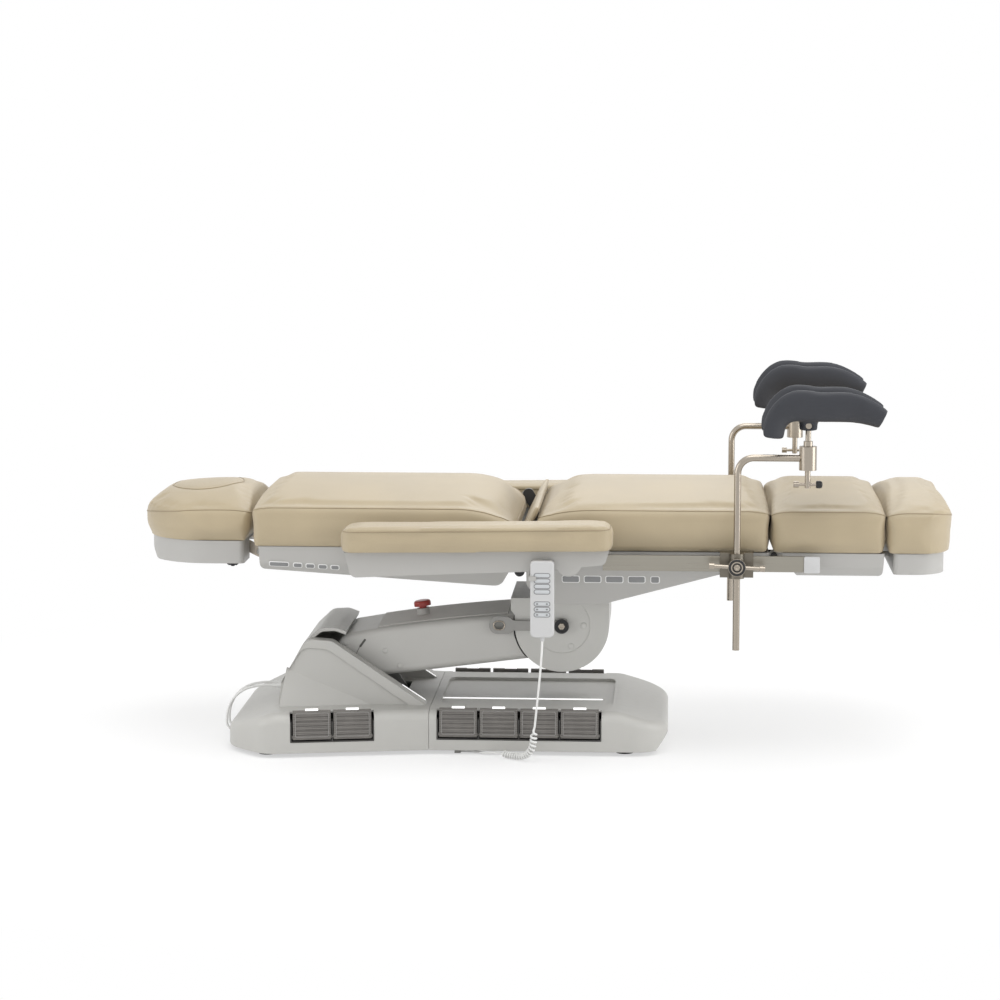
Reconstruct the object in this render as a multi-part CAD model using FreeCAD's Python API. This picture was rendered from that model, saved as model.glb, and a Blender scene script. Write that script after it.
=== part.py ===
import FreeCAD, Part
import math
import os

from FreeCAD import Vector as V

# Powered examination chair, in millimetres.
# X runs along the chair to the foot end, Y across it, Z up from the floor.
# "near" is the -Y side and "far" the +Y side.

# Heights, each measured from the level below it
FOOT_HEIGHT = 10.0
PLINTH_HEIGHT = 94.0
LIFT_RISE = 121.0
ARM_RISE = 62.0
NECK_RISE = 65.0
SEAT_STACK = 137.0
BACK_STEP = 5.0
CUSHION_SIDE = 99.0
CROWN_RISE = 31.0
HEAD_SIDE = 80.0
HEAD_CROWN_RISE = 38.0

PLINTH_TOP = FOOT_HEIGHT + PLINTH_HEIGHT
LIFT_Z = PLINTH_TOP + LIFT_RISE
KNUCKLE_Z = LIFT_Z + ARM_RISE
SWIVEL_PLANE = KNUCKLE_Z + NECK_RISE
PAN_TOP = SWIVEL_PLANE + SEAT_STACK
BACK_PAN_TOP = PAN_TOP + BACK_STEP
CUSHION_EDGE = PAN_TOP + CUSHION_SIDE
CUSHION_CROWN = CUSHION_EDGE + CROWN_RISE
HEAD_EDGE = BACK_PAN_TOP + HEAD_SIDE
HEAD_CROWN = HEAD_EDGE + HEAD_CROWN_RISE

# Clearances
RUNNING = 0.05
SEAT_FIT = 0.3
SLIDE_FIT = 0.4
SECTION_GAP = 7.0

# Upholstered sections, placed from the swivel axis
KNUCKLE_X = 49.0
SEAT_BEHIND = 95.0
HALF_WIDTH = 297.0
SEAT_LENGTH = 577.0
BACK_GAP = 8.0
BACK_LENGTH = 611.0
HEAD_GAP = 19.0
HEAD_LENGTH = 266.0
HEAD_HALF_WIDTH = 215.0
HEAD_ROUND = 165.0
LEG_LENGTH = 257.0
FOOT_LENGTH = 148.0
CUSHION_ROLL = 26.0
PLAN_MARGIN = 0.6
SEAT_SHOULDER = 64.0
CUSHION_DRAW = 9.0
CORNER_ROUND = 26.0
SEAT_REAR_SLOPE = 0.5
BACK_FRONT_SLOPE = 0.30
BACK_SHOULDER = 44.0
FOOT_NOTCH = 26.0
FOOT_LOBE = 90.0
FLAP_THICK = 10.0
FLAP_DROP = 18.0

SEAT_REAR_X = KNUCKLE_X - SEAT_BEHIND
SEAT_FRONT_X = SEAT_REAR_X + SEAT_LENGTH
LEG_REAR_X = SEAT_FRONT_X + SECTION_GAP
LEG_FRONT_X = LEG_REAR_X + LEG_LENGTH
FOOT_REAR_X = LEG_FRONT_X + SECTION_GAP
FOOT_END_X = FOOT_REAR_X + FOOT_LENGTH
BACK_FRONT_X = SEAT_REAR_X - BACK_GAP
BACK_REAR_X = BACK_FRONT_X - BACK_LENGTH
HEAD_FRONT_X = BACK_REAR_X - HEAD_GAP
HEAD_END_X = HEAD_FRONT_X - HEAD_LENGTH
FLAP_TOP = CUSHION_CROWN - FLAP_DROP

# Pans under the sections
PAN_WALL = 4.0
PAN_INSET = 14.0
PAN_FLANK = 34.0
SEAT_PAN_LIFT = 5.0
SEAT_PAN_TUCK = 61.0
SEAT_PAN_TIP = 51.0
SEAT_PAN_FLAT = 96.0
PAN_KEEL = 30.0
BACK_PAN_REAR_DEPTH = 54.0
BACK_PAN_FRONT_DEPTH = 96.0
BACK_PAN_TUCK = 45.0
LEG_PAN_DEPTH = 55.0
LEG_PAN_TUCK = 18.0
FOOT_PAN_DEPTH = 48.0
HEAD_PAN_DEPTH = 54.0
HEAD_PAN_LEAD = 34.0

PAN_HALF_WIDTH = HALF_WIDTH - PAN_INSET
SEAT_PAN_CREASE = PAN_TOP - PAN_FLANK
SEAT_PAN_DEEP = SWIVEL_PLANE + SEAT_PAN_LIFT
SEAT_PAN_FLOOR_HALF = PAN_HALF_WIDTH - SEAT_PAN_TUCK
SEAT_PAN_TIP_X = SEAT_FRONT_X - SEAT_PAN_TIP
BACK_PAN_REAR_Z = BACK_PAN_TOP - BACK_PAN_REAR_DEPTH
BACK_PAN_FRONT_Z = BACK_PAN_TOP - BACK_PAN_FRONT_DEPTH
PAN_BEVEL_HALF = PAN_HALF_WIDTH - BACK_PAN_TUCK
LEG_PAN_FLOOR = PAN_TOP - LEG_PAN_DEPTH
FOOT_PAN_FLOOR = PAN_TOP - FOOT_PAN_DEPTH
HEAD_PAN_FLOOR = BACK_PAN_TOP - HEAD_PAN_DEPTH

# Lift arm
ARM_RUN = 489.0
LINK_REACH = 38.6
LINK_LEAN = 66.0
ARM_HALF_WIDTH = 118.0
ARM_WALL = 5.0
ARM_ABOVE_ROOT = 39.0
ARM_ABOVE_KNUCKLE = 29.0
ARM_ARCH = 8.5
ARM_BELOW_ROOT = 74.0
ARM_BELOW_KNUCKLE = 73.0
ARM_OVERHANG = 50.0
ARM_HEEL = 40.0
ARM_ROUND = 16.0
ARM_GAP = 4.0
BEAM_HALF_WIDTH = 45.0
BEAM_HALF_HEIGHT = 22.0
BEAM_EYE = 26.0
BEAM_EYE_HALF = 62.0
COVER_STAYS = (0.32, 0.66)
STAY_WIDTH = 16.0
SHAFT_RADIUS = 15.0
CHEEK_PLATE = 10.0
CHEEK_PLATE_GAP = 6.0
CHEEK_HEAD = 28.0
LINK_INNER = 66.0
LINK_THICK = 12.0
LINK_HALF_HEIGHT = 10.0
LINK_PIN = 8.0
ACTUATOR_Y = 95.0
ACTUATOR_RADIUS = 15.0
ACTUATOR_START = 92.0
ACTUATOR_END = 340.0
ROD_RADIUS = 6.0
ROD_EYE = 14.5
ROD_PLAY = 3.0
PANEL_THICK = 3.0
PANEL_HALF_WIDTH = 96.0
PANEL_BEHIND = 48.0
PANEL_AHEAD = 129.0
STOP_AHEAD = 150.0
STOP_RADIUS = 20.5
STOP_HEIGHT = 13.0
STOP_STEM = 9.0
STOP_TRAVEL = 5.0
COLLAR_RADIUS = 15.0
COLLAR_HEIGHT = 15.0

LIFT_X = KNUCKLE_X - ARM_RUN
PANEL_REAR_X = LIFT_X + PANEL_BEHIND
PANEL_FRONT_X = KNUCKLE_X - PANEL_AHEAD
STOP_X = LIFT_X + STOP_AHEAD

# Tower that holds the arm's root
TOWER_BEHIND = 180.0
TOWER_GAP = 24.0
CHEEK_THICK = 48.0
CHEEK_DRAFT = 22.0
HOOD_WALL = 8.0
TOWER_HEIGHT = 148.0
HOOD_RISE = 27.0
RIM_BAND = 20.0
RIM_PROUD = 3.5
FACET_SPREAD = 46.0
FACET_HEIGHT = 88.0
FACET_LENGTH = 226.0
WELL_BEHIND = 110.0
WELL_AHEAD = 112.0

TOWER_REAR_X = LIFT_X - TOWER_BEHIND
TOWER_RIM_Z = PLINTH_TOP + TOWER_HEIGHT
HOOD_TOP = TOWER_RIM_Z + HOOD_RISE
CHEEK_INNER = ARM_HALF_WIDTH + TOWER_GAP

# Base
BASE_HALF_WIDTH = 255.0
BASE_FLARE = 70.0
FRONT_LENGTH = 560.0
SEAM_AHEAD = 182.0
BASE_SEAM_GAP = 0.8
REAR_LEDGE = 118.0
REAR_TAPER = 98.0
REAR_NARROW = 96.0
NOSE_SLOPE = 118.0
NOSE_DROP = 34.0
NOSE_TUCK = 36.0
LEDGE_DROP = 44.0
BASE_WALL = 5.0
PLINTH_ROUND = 24.0
FRAME_PLATE = 8.0
FOOT_RADIUS = 21.0
FRONT_FOOT_IN = (101.0, 50.0)
REAR_FOOT_IN = (101.0, 63.0)
TRAY_MARGIN = 97.0
TRAY_DEPTH = 7.0
TRAY_BEHIND_NOSE = 130.0
TRAY_BEHIND_SEAM = 20.0

BASE_SEAM_X = LIFT_X + SEAM_AHEAD
BASE_FRONT_X = BASE_SEAM_X + FRONT_LENGTH
BASE_REAR_X = TOWER_REAR_X - REAR_LEDGE
BASE_SHOULDER_X = BASE_REAR_X + REAR_TAPER
TRAY_HALF = BASE_HALF_WIDTH - TRAY_MARGIN
TRAY_FRONT_X = BASE_FRONT_X - TRAY_BEHIND_NOSE
FLARE_ANGLE = math.degrees(math.atan2(BASE_FLARE, BASE_SEAM_X - BASE_SHOULDER_X))

# Pedals
PEDAL_PITCH = 95.0
PEDAL_GAP = 7.0
PEDAL_HEIGHT = 68.0
PEDAL_ABOVE = 6.0
PEDAL_THICK = 12.0
PEDAL_PIN = 4.0
PEDAL_LEAN = 6.0
PEDAL_PROUD = 4.0
PEDAL_BORDER = 6.0
PEDAL_GROOVES = 5
GROOVE_WIDTH = 3.0
GROOVE_DEPTH = 1.5
GROOVE_MARGIN = 10.0
PEDAL_TRAY_WALL = 3.0
PEDAL_TRAY_DROP = 7.0
PEDAL_TRAY_LIP = 4.0
PEDAL_TRAVEL = 11.0
FRONT_PEDALS = 4
REAR_PEDALS = 2
FRONT_BANK_START = 19.0
REAR_BANK_START = 124.0

PEDAL_WIDTH = PEDAL_PITCH - PEDAL_GAP
PEDAL_TOP = PLINTH_TOP + PEDAL_ABOVE
PEDAL_BOTTOM = PEDAL_TOP - PEDAL_HEIGHT

# Knuckle
KNUCKLE_RADIUS = 112.0
KNUCKLE_HALF_WIDTH = 125.0
KNUCKLE_WALL = 6.0
NECK_LEFT = 121.0
NECK_STEP = 24.0
BOSS_RADIUS = 20.0
TURNTABLE_RADIUS = 64.0
TURNTABLE_THICK = 12.0
SPIGOT_RADIUS = 30.0
SPIGOT_LENGTH = 32.0
LEVER_LENGTH = 172.0
LEVER_THICK = 10.0
LEVER_HUB = 18.0
LEVER_SHAFT = 9.0
LEVER_NECK = 24.0
PADDLE_HEIGHT = 41.0
PADDLE_LENGTH = 62.0
LOOP_LENGTH = 26.0
LOOP_HEIGHT = 20.0

# Seat frame
LADDER_MARGIN = 87.0
LADDER_WIDTH = 30.0
LADDER_DROP = 49.0
LADDER_HEIGHT = 30.0
LADDER_SHORT = 90.0
TIP_BAR_LIFT = 6.0
TIP_BAR_STEP = 12.0
CROSS_BAR = 20.0
CROSS_RADIUS = 10.0
PEDESTAL_BEHIND = 20.0
PEDESTAL_AHEAD = 60.0
PEDESTAL_HALF = 90.0
PEDESTAL_WALL = 6.0
YOKE_RADIUS = 12.0
YOKE_MARGIN = 34.0
YOKE_DROP = 8.0
YOKE_LUG_Y = 140.0
YOKE_LUG_THICK = 16.0
YOKE_LUG_BELOW = 15.0
YOKE_LUG_ABOVE = 20.0
EAR_RADIUS = 14.0
EAR_THICK = 5.0
EAR_GAP = 6.0
HINGE_PIN = 8.0
BACK_PIVOT_AHEAD = 2.0
BACK_PIVOT_RISE = 56.0
EAR_ROD_AHEAD = 38.0
EAR_ROD_DROP = 21.0
LEG_PIVOT_AHEAD = 14.0
LEG_PIVOT_DROP = 17.0
HEAD_PIVOT_BEHIND = 9.0
HEAD_PIVOT_DROP = 39.0
HEAD_LUG_INNER = 88.0
BRACKET_BAR = 8.0
HEAD_KNOB_BEHIND = 51.0
HEAD_KNOB_DROP = 51.0
HEAD_KNOB_RADIUS = 20.0
GUIDE_RADIUS = 7.0
GUIDE_Y = 120.0
GUIDE_LENGTH = 225.0

LADDER_INNER = PAN_HALF_WIDTH - LADDER_MARGIN
LADDER_Z = PAN_TOP - LADDER_DROP
EAR_INNER = HALF_WIDTH + EAR_GAP
BACK_PIVOT_X = BACK_FRONT_X + BACK_PIVOT_AHEAD
BACK_PIVOT_Z = PAN_TOP + BACK_PIVOT_RISE
EAR_ROD_X = SEAT_REAR_X + EAR_ROD_AHEAD
EAR_ROD_Z = PAN_TOP - EAR_ROD_DROP
LEG_PIVOT_X = SEAT_FRONT_X + LEG_PIVOT_AHEAD
LEG_PIVOT_Z = PAN_TOP - LEG_PIVOT_DROP
HEAD_PIVOT_X = BACK_REAR_X - HEAD_PIVOT_BEHIND
HEAD_PIVOT_Z = BACK_PAN_TOP - HEAD_PIVOT_DROP
HEAD_KNOB_X = HEAD_FRONT_X - HEAD_KNOB_BEHIND
HEAD_KNOB_Z = BACK_PAN_TOP - HEAD_KNOB_DROP

# Seat actuators
SEAT_ACTUATOR_Y = 140.0
SEAT_ACTUATOR_RADIUS = 13.0
SEAT_ACTUATOR_AHEAD = 72.0
SEAT_ACTUATOR_LENGTH = 159.0
SEAT_ACTUATOR_DROP = 22.0
SEAT_MOTOR_RADIUS = 16.0
SEAT_MOTOR_AHEAD = 34.0
SEAT_MOTOR_LENGTH = 32.0
SEAT_HANGER_AHEAD = 60.0
SEAT_HANGER_LENGTH = 24.0
SEAT_HANGER_HALF = 8.0

# Side rails
RAIL_GAP = 13.0
RAIL_THICK = 8.0
RAIL_DROP = 39.0
RAIL_HEIGHT = 36.0
RAIL_LENGTH = 462.0
RAIL_AHEAD = 81.0
RAIL_STOP = 32.0
STANDOFF_RADIUS = 9.0
STANDOFF_PLACES = (80.0, 235.0)

RAIL_INNER = HALF_WIDTH + RAIL_GAP
RAIL_Z = PAN_TOP - RAIL_DROP
RAIL_FRONT_X = SEAT_FRONT_X + RAIL_AHEAD
RAIL_REAR_X = RAIL_FRONT_X - RAIL_LENGTH
STANDOFF_XS = [RAIL_REAR_X + place for place in STANDOFF_PLACES]

# Armrests
REST_GAP = 33.0
REST_WIDTH = 100.0
REST_SHELL_INSET = 6.0
REST_SHELL_WIDTH = 72.0
REST_LENGTH = 619.0
REST_NOSE = 100.0
REST_PIVOT_AHEAD = 121.0
REST_PIVOT_DROP = 11.0
REST_BOSS = 29.0
REST_LIFT = 11.0
REST_CLIMB = 10.0
REST_PAD_THICK = 57.0
REST_SHELL_DEPTH = 58.0

REST_INNER = HALF_WIDTH + REST_GAP
REST_SHELL_INNER = REST_INNER + REST_SHELL_INSET
REST_PIVOT_X = SEAT_REAR_X + REST_PIVOT_AHEAD
REST_PIVOT_Z = PAN_TOP - REST_PIVOT_DROP
REST_FRONT_X = REST_PIVOT_X + REST_NOSE
REST_REAR_X = REST_FRONT_X - REST_LENGTH
REST_SEAT_REAR_Z = PAN_TOP + REST_LIFT
REST_SEAT_FRONT_Z = REST_SEAT_REAR_Z + REST_CLIMB

# Stirrups
POST_BEHIND = 156.0
POST_OUT = 35.0
POST_RADIUS = 8.0
POST_BELOW = 177.0
POST_ABOVE = 266.0
POST_BEND = 36.0
POST_REACH = 158.0
SOCKET_RADIUS = 20.0
SOCKET_HEIGHT = 54.0
CLAMP_HALF = 38.0
CLAMP_JAW = 9.0
CLAMP_WEB = 10.0
CLAMP_BOSS = 17.0
SCREW_DISC = 20.0
SCREW_DISC_THICK = 14.0
SCREW_STUD = 5.0
T_BAR = 115.0
T_BAR_RADIUS = 4.5
T_BAR_CAP = 7.0
T_BAR_TILT = 3.0
CRUTCH_ROD = 6.5
CRUTCH_ROD_BELOW = 68.0
CRUTCH_ROD_ABOVE = 75.0
TOMMY_HALF = 26.0
CRUTCH_PIN = 7.0
CRUTCH_HUB = 21.0
CRUTCH_HUB_DROP = 11.0
CRUTCH_SEAT = 12.0
CRUTCH_DEPTH = 71.0
CRUTCH_HALF = 76.0
CRUTCH_WALL = 15.0
CRUTCH_REAR = 50.0
CRUTCH_FRONT = 72.0

POST_X = RAIL_FRONT_X - POST_BEHIND
POST_Y = RAIL_INNER + POST_OUT
POST_BOTTOM = RAIL_Z - POST_BELOW
POST_ARM_Z = RAIL_Z + POST_ABOVE
SOCKET_X = POST_X + POST_REACH
CRUTCH_ROD_BOTTOM = POST_ARM_Z - CRUTCH_ROD_BELOW
CRUTCH_AXIS_Z = POST_ARM_Z + CRUTCH_ROD_ABOVE
CRUTCH_FLOOR = CRUTCH_AXIS_Z + CRUTCH_SEAT

# Handset and cords
HANDSET_AHEAD = 62.0
HANDSET_WIDTH = 54.0
HANDSET_BELOW = 131.0
HANDSET_HEIGHT = 176.0
HANDSET_THICK = 21.0
HANDSET_GAP = 3.0
HOOK_THICK = 3.0
HOOK_DROP = 46.0
HOOK_HEIGHT = 10.0
HOOK_LIP = 14.0
RELIEF_RADIUS = 5.0
RELIEF_LENGTH = 9.0
CABLE_RADIUS = 2.6
CURL_RADIUS = 6.4
CURL_BEND = 26.0
CURL_TURNS_HANGING = 6
CURL_TURNS_LYING = 13
CURL_PITCH_HANGING = 9.4
CURL_PITCH_LYING = 6.6
LEAD_RADIUS = 3.0
PLUG_RADIUS = 7.0
PLUG_LENGTH = 34.0
PLUG_RISE = 18.0
PLUG_YS = (-62.0, -22.0)
GLAND_SIZE = 14.0
GLAND_MARGIN = 21.0

HANDSET_X = SEAT_REAR_X + HANDSET_AHEAD
HANDSET_INNER = REST_SHELL_INNER + REST_SHELL_WIDTH + HANDSET_GAP
HOOK_Z = PAN_TOP - HOOK_DROP
HANDSET_BOTTOM = HOOK_Z - HANDSET_BELOW
PLUG_Z = PLINTH_TOP + PLUG_RISE
GLAND_Y = GLAND_MARGIN - BASE_HALF_WIDTH

ARM_LENGTH = math.hypot(ARM_RUN, ARM_RISE)
ARM_ANGLE = math.degrees(math.atan2(ARM_RISE, ARM_RUN))
LINK_U = LINK_REACH * math.cos(math.radians(LINK_LEAN))
LINK_V = -LINK_REACH * math.sin(math.radians(LINK_LEAN))


# Drawing helpers

def on_xz(y):
    """Place a flat outline in the plane Y = y."""
    return lambda q: V(q.x, y, q.y)


def on_yz(x):
    """Place a flat outline in the plane X = x."""
    return lambda q: V(x, q.x, q.y)


def on_xy(z):
    """Place a flat outline in the plane Z = z."""
    return lambda q: V(q.x, q.y, z)


def rounded_loop(corners, place):
    """Closed wire through (u, v, radius) corners, each rounded by a tangent arc."""
    joints = []
    count = len(corners)
    for i, (u, v, radius) in enumerate(corners):
        p = V(u, v, 0)
        if radius <= 0:
            joints.append((p, None, p))
            continue
        a = V(corners[i - 1][0], corners[i - 1][1], 0) - p
        b = V(corners[(i + 1) % count][0], corners[(i + 1) % count][1], 0) - p
        a.normalize()
        b.normalize()
        half = a.getAngle(b) / 2
        reach = radius / math.tan(half)
        inward = a + b
        inward.normalize()
        middle = p + inward * (radius / math.sin(half) - radius)
        joints.append((p + a * reach, middle, p + b * reach))
    edges = []
    for i, (entry, middle, leave) in enumerate(joints):
        if middle is not None:
            edges.append(Part.Arc(place(entry), place(middle), place(leave)).toShape())
        following = joints[(i + 1) % count][0]
        if leave.distanceToPoint(following) > 1e-6:
            edges.append(Part.LineSegment(place(leave), place(following)).toShape())
    return Part.Wire(edges)


def prism_y(corners, y0, y1):
    """Side outline (x, z, radius) carried across from y0 to y1."""
    return Part.Face(rounded_loop(corners, on_xz(y0))).extrude(V(0, y1 - y0, 0))


def prism_x(corners, x0, x1):
    """Cross-section (y, z, radius) carried along from x0 to x1."""
    return Part.Face(rounded_loop(corners, on_yz(x0))).extrude(V(x1 - x0, 0, 0))


def prism_z(corners, z0, z1):
    """Plan outline (x, y, radius) carried up from z0 to z1."""
    return Part.Face(rounded_loop(corners, on_xy(z0))).extrude(V(0, 0, z1 - z0))


def block(x0, x1, y0, y1, z0, z1):
    """Box between two corners."""
    return Part.makeBox(x1 - x0, y1 - y0, z1 - z0, V(x0, y0, z0))


def rod_y(x, z, radius, y0, y1):
    """Round bar across the chair."""
    return Part.makeCylinder(radius, y1 - y0, V(x, y0, z), V(0, 1, 0))


def rod_x(y, z, radius, x0, x1):
    """Round bar along the chair."""
    return Part.makeCylinder(radius, x1 - x0, V(x0, y, z), V(1, 0, 0))


def rod_z(x, y, radius, z0, z1):
    """Upright round bar."""
    return Part.makeCylinder(radius, z1 - z0, V(x, y, z0))


def strap(a, b, radius_a, radius_b, y0, y1):
    """Flat bar in the XZ plane with a round end at each of two points."""
    ends = rod_y(a[0], a[1], radius_a, y0, y1).fuse(rod_y(b[0], b[1], radius_b, y0, y1))
    along = V(b[0] - a[0], 0, b[1] - a[1])
    along.normalize()
    side = V(-along.z, 0, along.x)
    start = V(a[0], y0, a[1])
    finish = V(b[0], y0, b[1])
    points = [start + side * radius_a, finish + side * radius_b]
    points += [finish - side * radius_b, start - side * radius_a]
    web = Part.Face(Part.makePolygon(points + points[:1])).extrude(V(0, y1 - y0, 0))
    return ends.fuse(web).removeSplitter()


def mirrored(shape):
    """The same piece on the other side of the chair."""
    return shape.mirror(V(0, 0, 0), V(0, 1, 0))


def both(shape):
    """A piece and its mirror image, fused where they meet."""
    return shape.fuse(mirrored(shape))


def fused(shapes):
    """One solid from several that touch."""
    return shapes[0].multiFuse(shapes[1:]).removeSplitter()


def cut_all(shape, tools):
    """A solid less several others."""
    return shape.cut(tools)


def group(shapes):
    """Separate solids that share one node."""
    return Part.makeCompound([s for shape in shapes for s in shape.Solids])


# Upholstery

def dome_prism(x0, x1, half_width, bottom, edge, crown):
    """Cushion cross-section: drawn-in sides that swell, a rolled edge and a crowned top."""
    low = half_width - CUSHION_DRAW
    high = half_width - CUSHION_DRAW / 2
    turn = edge - CUSHION_ROLL
    shoulder = high - CUSHION_ROLL
    bend = 0.3 * CUSHION_ROLL
    middle = (bottom + turn) / 2

    def arc(a, b, c):
        return Part.Arc(V(x0, *a), V(x0, *b), V(x0, *c)).toShape()

    edges = [
        Part.LineSegment(V(x0, -low, bottom), V(x0, low, bottom)).toShape(),
        arc((low, bottom), (half_width, middle), (high, turn)),
        arc((high, turn), (high - bend, edge - bend), (shoulder, edge)),
        arc((shoulder, edge), (0, crown), (-shoulder, edge)),
        arc((-shoulder, edge), (bend - high, edge - bend), (-high, turn)),
        arc((-high, turn), (-half_width, middle), (-low, bottom)),
    ]
    return Part.Face(Part.Wire(edges)).extrude(V(x1 - x0, 0, 0))


def cushion(plan, side, half_width, bottom, edge, crown):
    """Cushion whose plan, side outline and cross-section all hold."""
    xs = [c[0] for c in side]
    body = dome_prism(min(xs), max(xs), half_width, bottom, edge, crown)
    body = body.common(prism_y(side, -half_width - PLAN_MARGIN, half_width + PLAN_MARGIN))
    return body.common(prism_z(plan, bottom - PLAN_MARGIN, crown + PLAN_MARGIN)).removeSplitter()


def plain_plan(x0, x1, half_width, corner):
    """Rectangular plan with rounded corners, a margin wider than the cushion between them."""
    x0 -= PLAN_MARGIN
    x1 += PLAN_MARGIN
    y = half_width + PLAN_MARGIN
    return [(x0, -y, corner), (x1, -y, corner), (x1, y, corner), (x0, y, corner)]


def seat_face_x(z):
    """Where the seat cushion's slanted rear face is at a height."""
    return SEAT_REAR_X + (z - PAN_TOP) * SEAT_REAR_SLOPE


def seat_cushion():
    """Seat cushion with its slanted rear face."""
    side = [
        (SEAT_REAR_X, PAN_TOP, 0),
        (SEAT_FRONT_X, PAN_TOP, 6),
        (SEAT_FRONT_X, CUSHION_CROWN, CUSHION_ROLL),
        (seat_face_x(CUSHION_CROWN), CUSHION_CROWN, SEAT_SHOULDER),
    ]
    plan = plain_plan(SEAT_REAR_X, SEAT_FRONT_X, HALF_WIDTH, CORNER_ROUND)
    return cushion(plan, side, HALF_WIDTH, PAN_TOP, CUSHION_EDGE, CUSHION_CROWN)


def gap_flap():
    """Padded flap that leans on the seat's rear face."""
    low = PAN_TOP + SEAT_FIT
    lean = math.hypot(1, SEAT_REAR_SLOPE)
    near_face = -SEAT_FIT * lean
    far_face = -(SEAT_FIT + FLAP_THICK) * lean
    side = [
        (seat_face_x(low) + near_face, low, 0),
        (seat_face_x(FLAP_TOP - 14) + near_face, FLAP_TOP - 14, 3),
        (seat_face_x(FLAP_TOP - 10) + far_face, FLAP_TOP - 10, 4),
        (seat_face_x(low) + far_face, low, 0),
    ]
    return prism_y(side, -HALF_WIDTH + CORNER_ROUND, HALF_WIDTH - CORNER_ROUND)


def back_cushion():
    """Back cushion with a leaning front face and a wide shoulder."""
    top = CUSHION_CROWN
    foot = BACK_FRONT_X - (BACK_PIVOT_Z - BACK_PAN_TOP) * BACK_FRONT_SLOPE
    side = [
        (BACK_REAR_X, BACK_PAN_TOP, 6),
        (foot, BACK_PAN_TOP, 6),
        (BACK_FRONT_X, BACK_PIVOT_Z, 0),
        (BACK_FRONT_X, top, BACK_SHOULDER),
        (BACK_REAR_X, top, CUSHION_ROLL),
    ]
    plan = plain_plan(BACK_REAR_X, BACK_FRONT_X, HALF_WIDTH, CORNER_ROUND)
    return cushion(plan, side, HALF_WIDTH, BACK_PAN_TOP, CUSHION_EDGE, top)


def head_plan(inset):
    """Head section's plan: straight at the back, rounded at the head end."""
    x0 = HEAD_END_X + inset
    x1 = HEAD_FRONT_X - inset
    y = HEAD_HALF_WIDTH - inset
    corner = CORNER_ROUND - min(inset, CORNER_ROUND - 6)
    round_end = HEAD_ROUND - inset
    return [(x0, -y, round_end), (x1, -y, corner), (x1, y, corner), (x0, y, round_end)]


def head_cushion():
    """Head cushion."""
    side = [
        (HEAD_END_X, BACK_PAN_TOP, 10),
        (HEAD_FRONT_X, BACK_PAN_TOP, 6),
        (HEAD_FRONT_X, HEAD_CROWN, CUSHION_ROLL),
        (HEAD_END_X, HEAD_CROWN, 2 * CUSHION_ROLL),
    ]
    return cushion(head_plan(-PLAN_MARGIN), side, HEAD_HALF_WIDTH, BACK_PAN_TOP, HEAD_EDGE, HEAD_CROWN)


def leg_cushion():
    """Leg cushion."""
    side = [
        (LEG_REAR_X, PAN_TOP, 6),
        (LEG_FRONT_X, PAN_TOP, 6),
        (LEG_FRONT_X, CUSHION_CROWN, CUSHION_ROLL),
        (LEG_REAR_X, CUSHION_CROWN, CUSHION_ROLL),
    ]
    plan = plain_plan(LEG_REAR_X, LEG_FRONT_X, HALF_WIDTH, CORNER_ROUND)
    return cushion(plan, side, HALF_WIDTH, PAN_TOP, CUSHION_EDGE, CUSHION_CROWN)


def foot_plan(inset):
    """Foot section's plan: the far end has two lobes and a shallow notch."""
    x0 = FOOT_REAR_X + inset
    x1 = FOOT_END_X - inset
    y = HALF_WIDTH - inset
    lobe = y * 0.45
    corner = CORNER_ROUND - min(inset, CORNER_ROUND - 8)
    return [
        (x0, -y, corner),
        (x1, -y, FOOT_LOBE - inset),
        (x1, -lobe, FOOT_LOBE),
        (x1 - FOOT_NOTCH, 0, 160),
        (x1, lobe, FOOT_LOBE),
        (x1, y, FOOT_LOBE - inset),
        (x0, y, corner),
    ]


def foot_cushion():
    """Foot cushion."""
    side = [
        (FOOT_REAR_X, PAN_TOP, 6),
        (FOOT_END_X, PAN_TOP, 8),
        (FOOT_END_X, CUSHION_CROWN, CUSHION_ROLL + 8),
        (FOOT_REAR_X, CUSHION_CROWN, CUSHION_ROLL),
    ]
    return cushion(foot_plan(-PLAN_MARGIN), side, HALF_WIDTH, PAN_TOP, CUSHION_EDGE, CUSHION_CROWN)


# Pans

def pan_section(x0, x1, half_width, top, crease, floor, floor_half, inset):
    """Pan cross-section: upright flanks above the crease, slanted flanks below it."""
    y = half_width - inset
    low = floor_half - inset
    base = floor + inset
    return prism_x(
        [(-y, top, 0), (-y, crease, 10), (-low, base, 16), (low, base, 16), (y, crease, 10), (y, top, 0)],
        x0, x1,
    )


def seat_pan_side(inset):
    """Boat-shaped side outline of the seat pan."""
    rear = BACK_FRONT_X + PAN_INSET + 12 + inset
    front = SEAT_FRONT_X - inset
    deep = SEAT_PAN_DEEP + inset
    lip = SEAT_PAN_CREASE - 1 + inset
    top = PAN_TOP + (inset > 0) * PAN_WALL
    return [
        (rear, top, 0),
        (rear, deep + 46, 26),
        (rear + 44, deep, 40),
        (KNUCKLE_X + SEAT_PAN_FLAT, deep, 120),
        (SEAT_PAN_TIP_X, lip, 60),
        (front, lip, 4),
        (front, top, 0),
    ]


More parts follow.
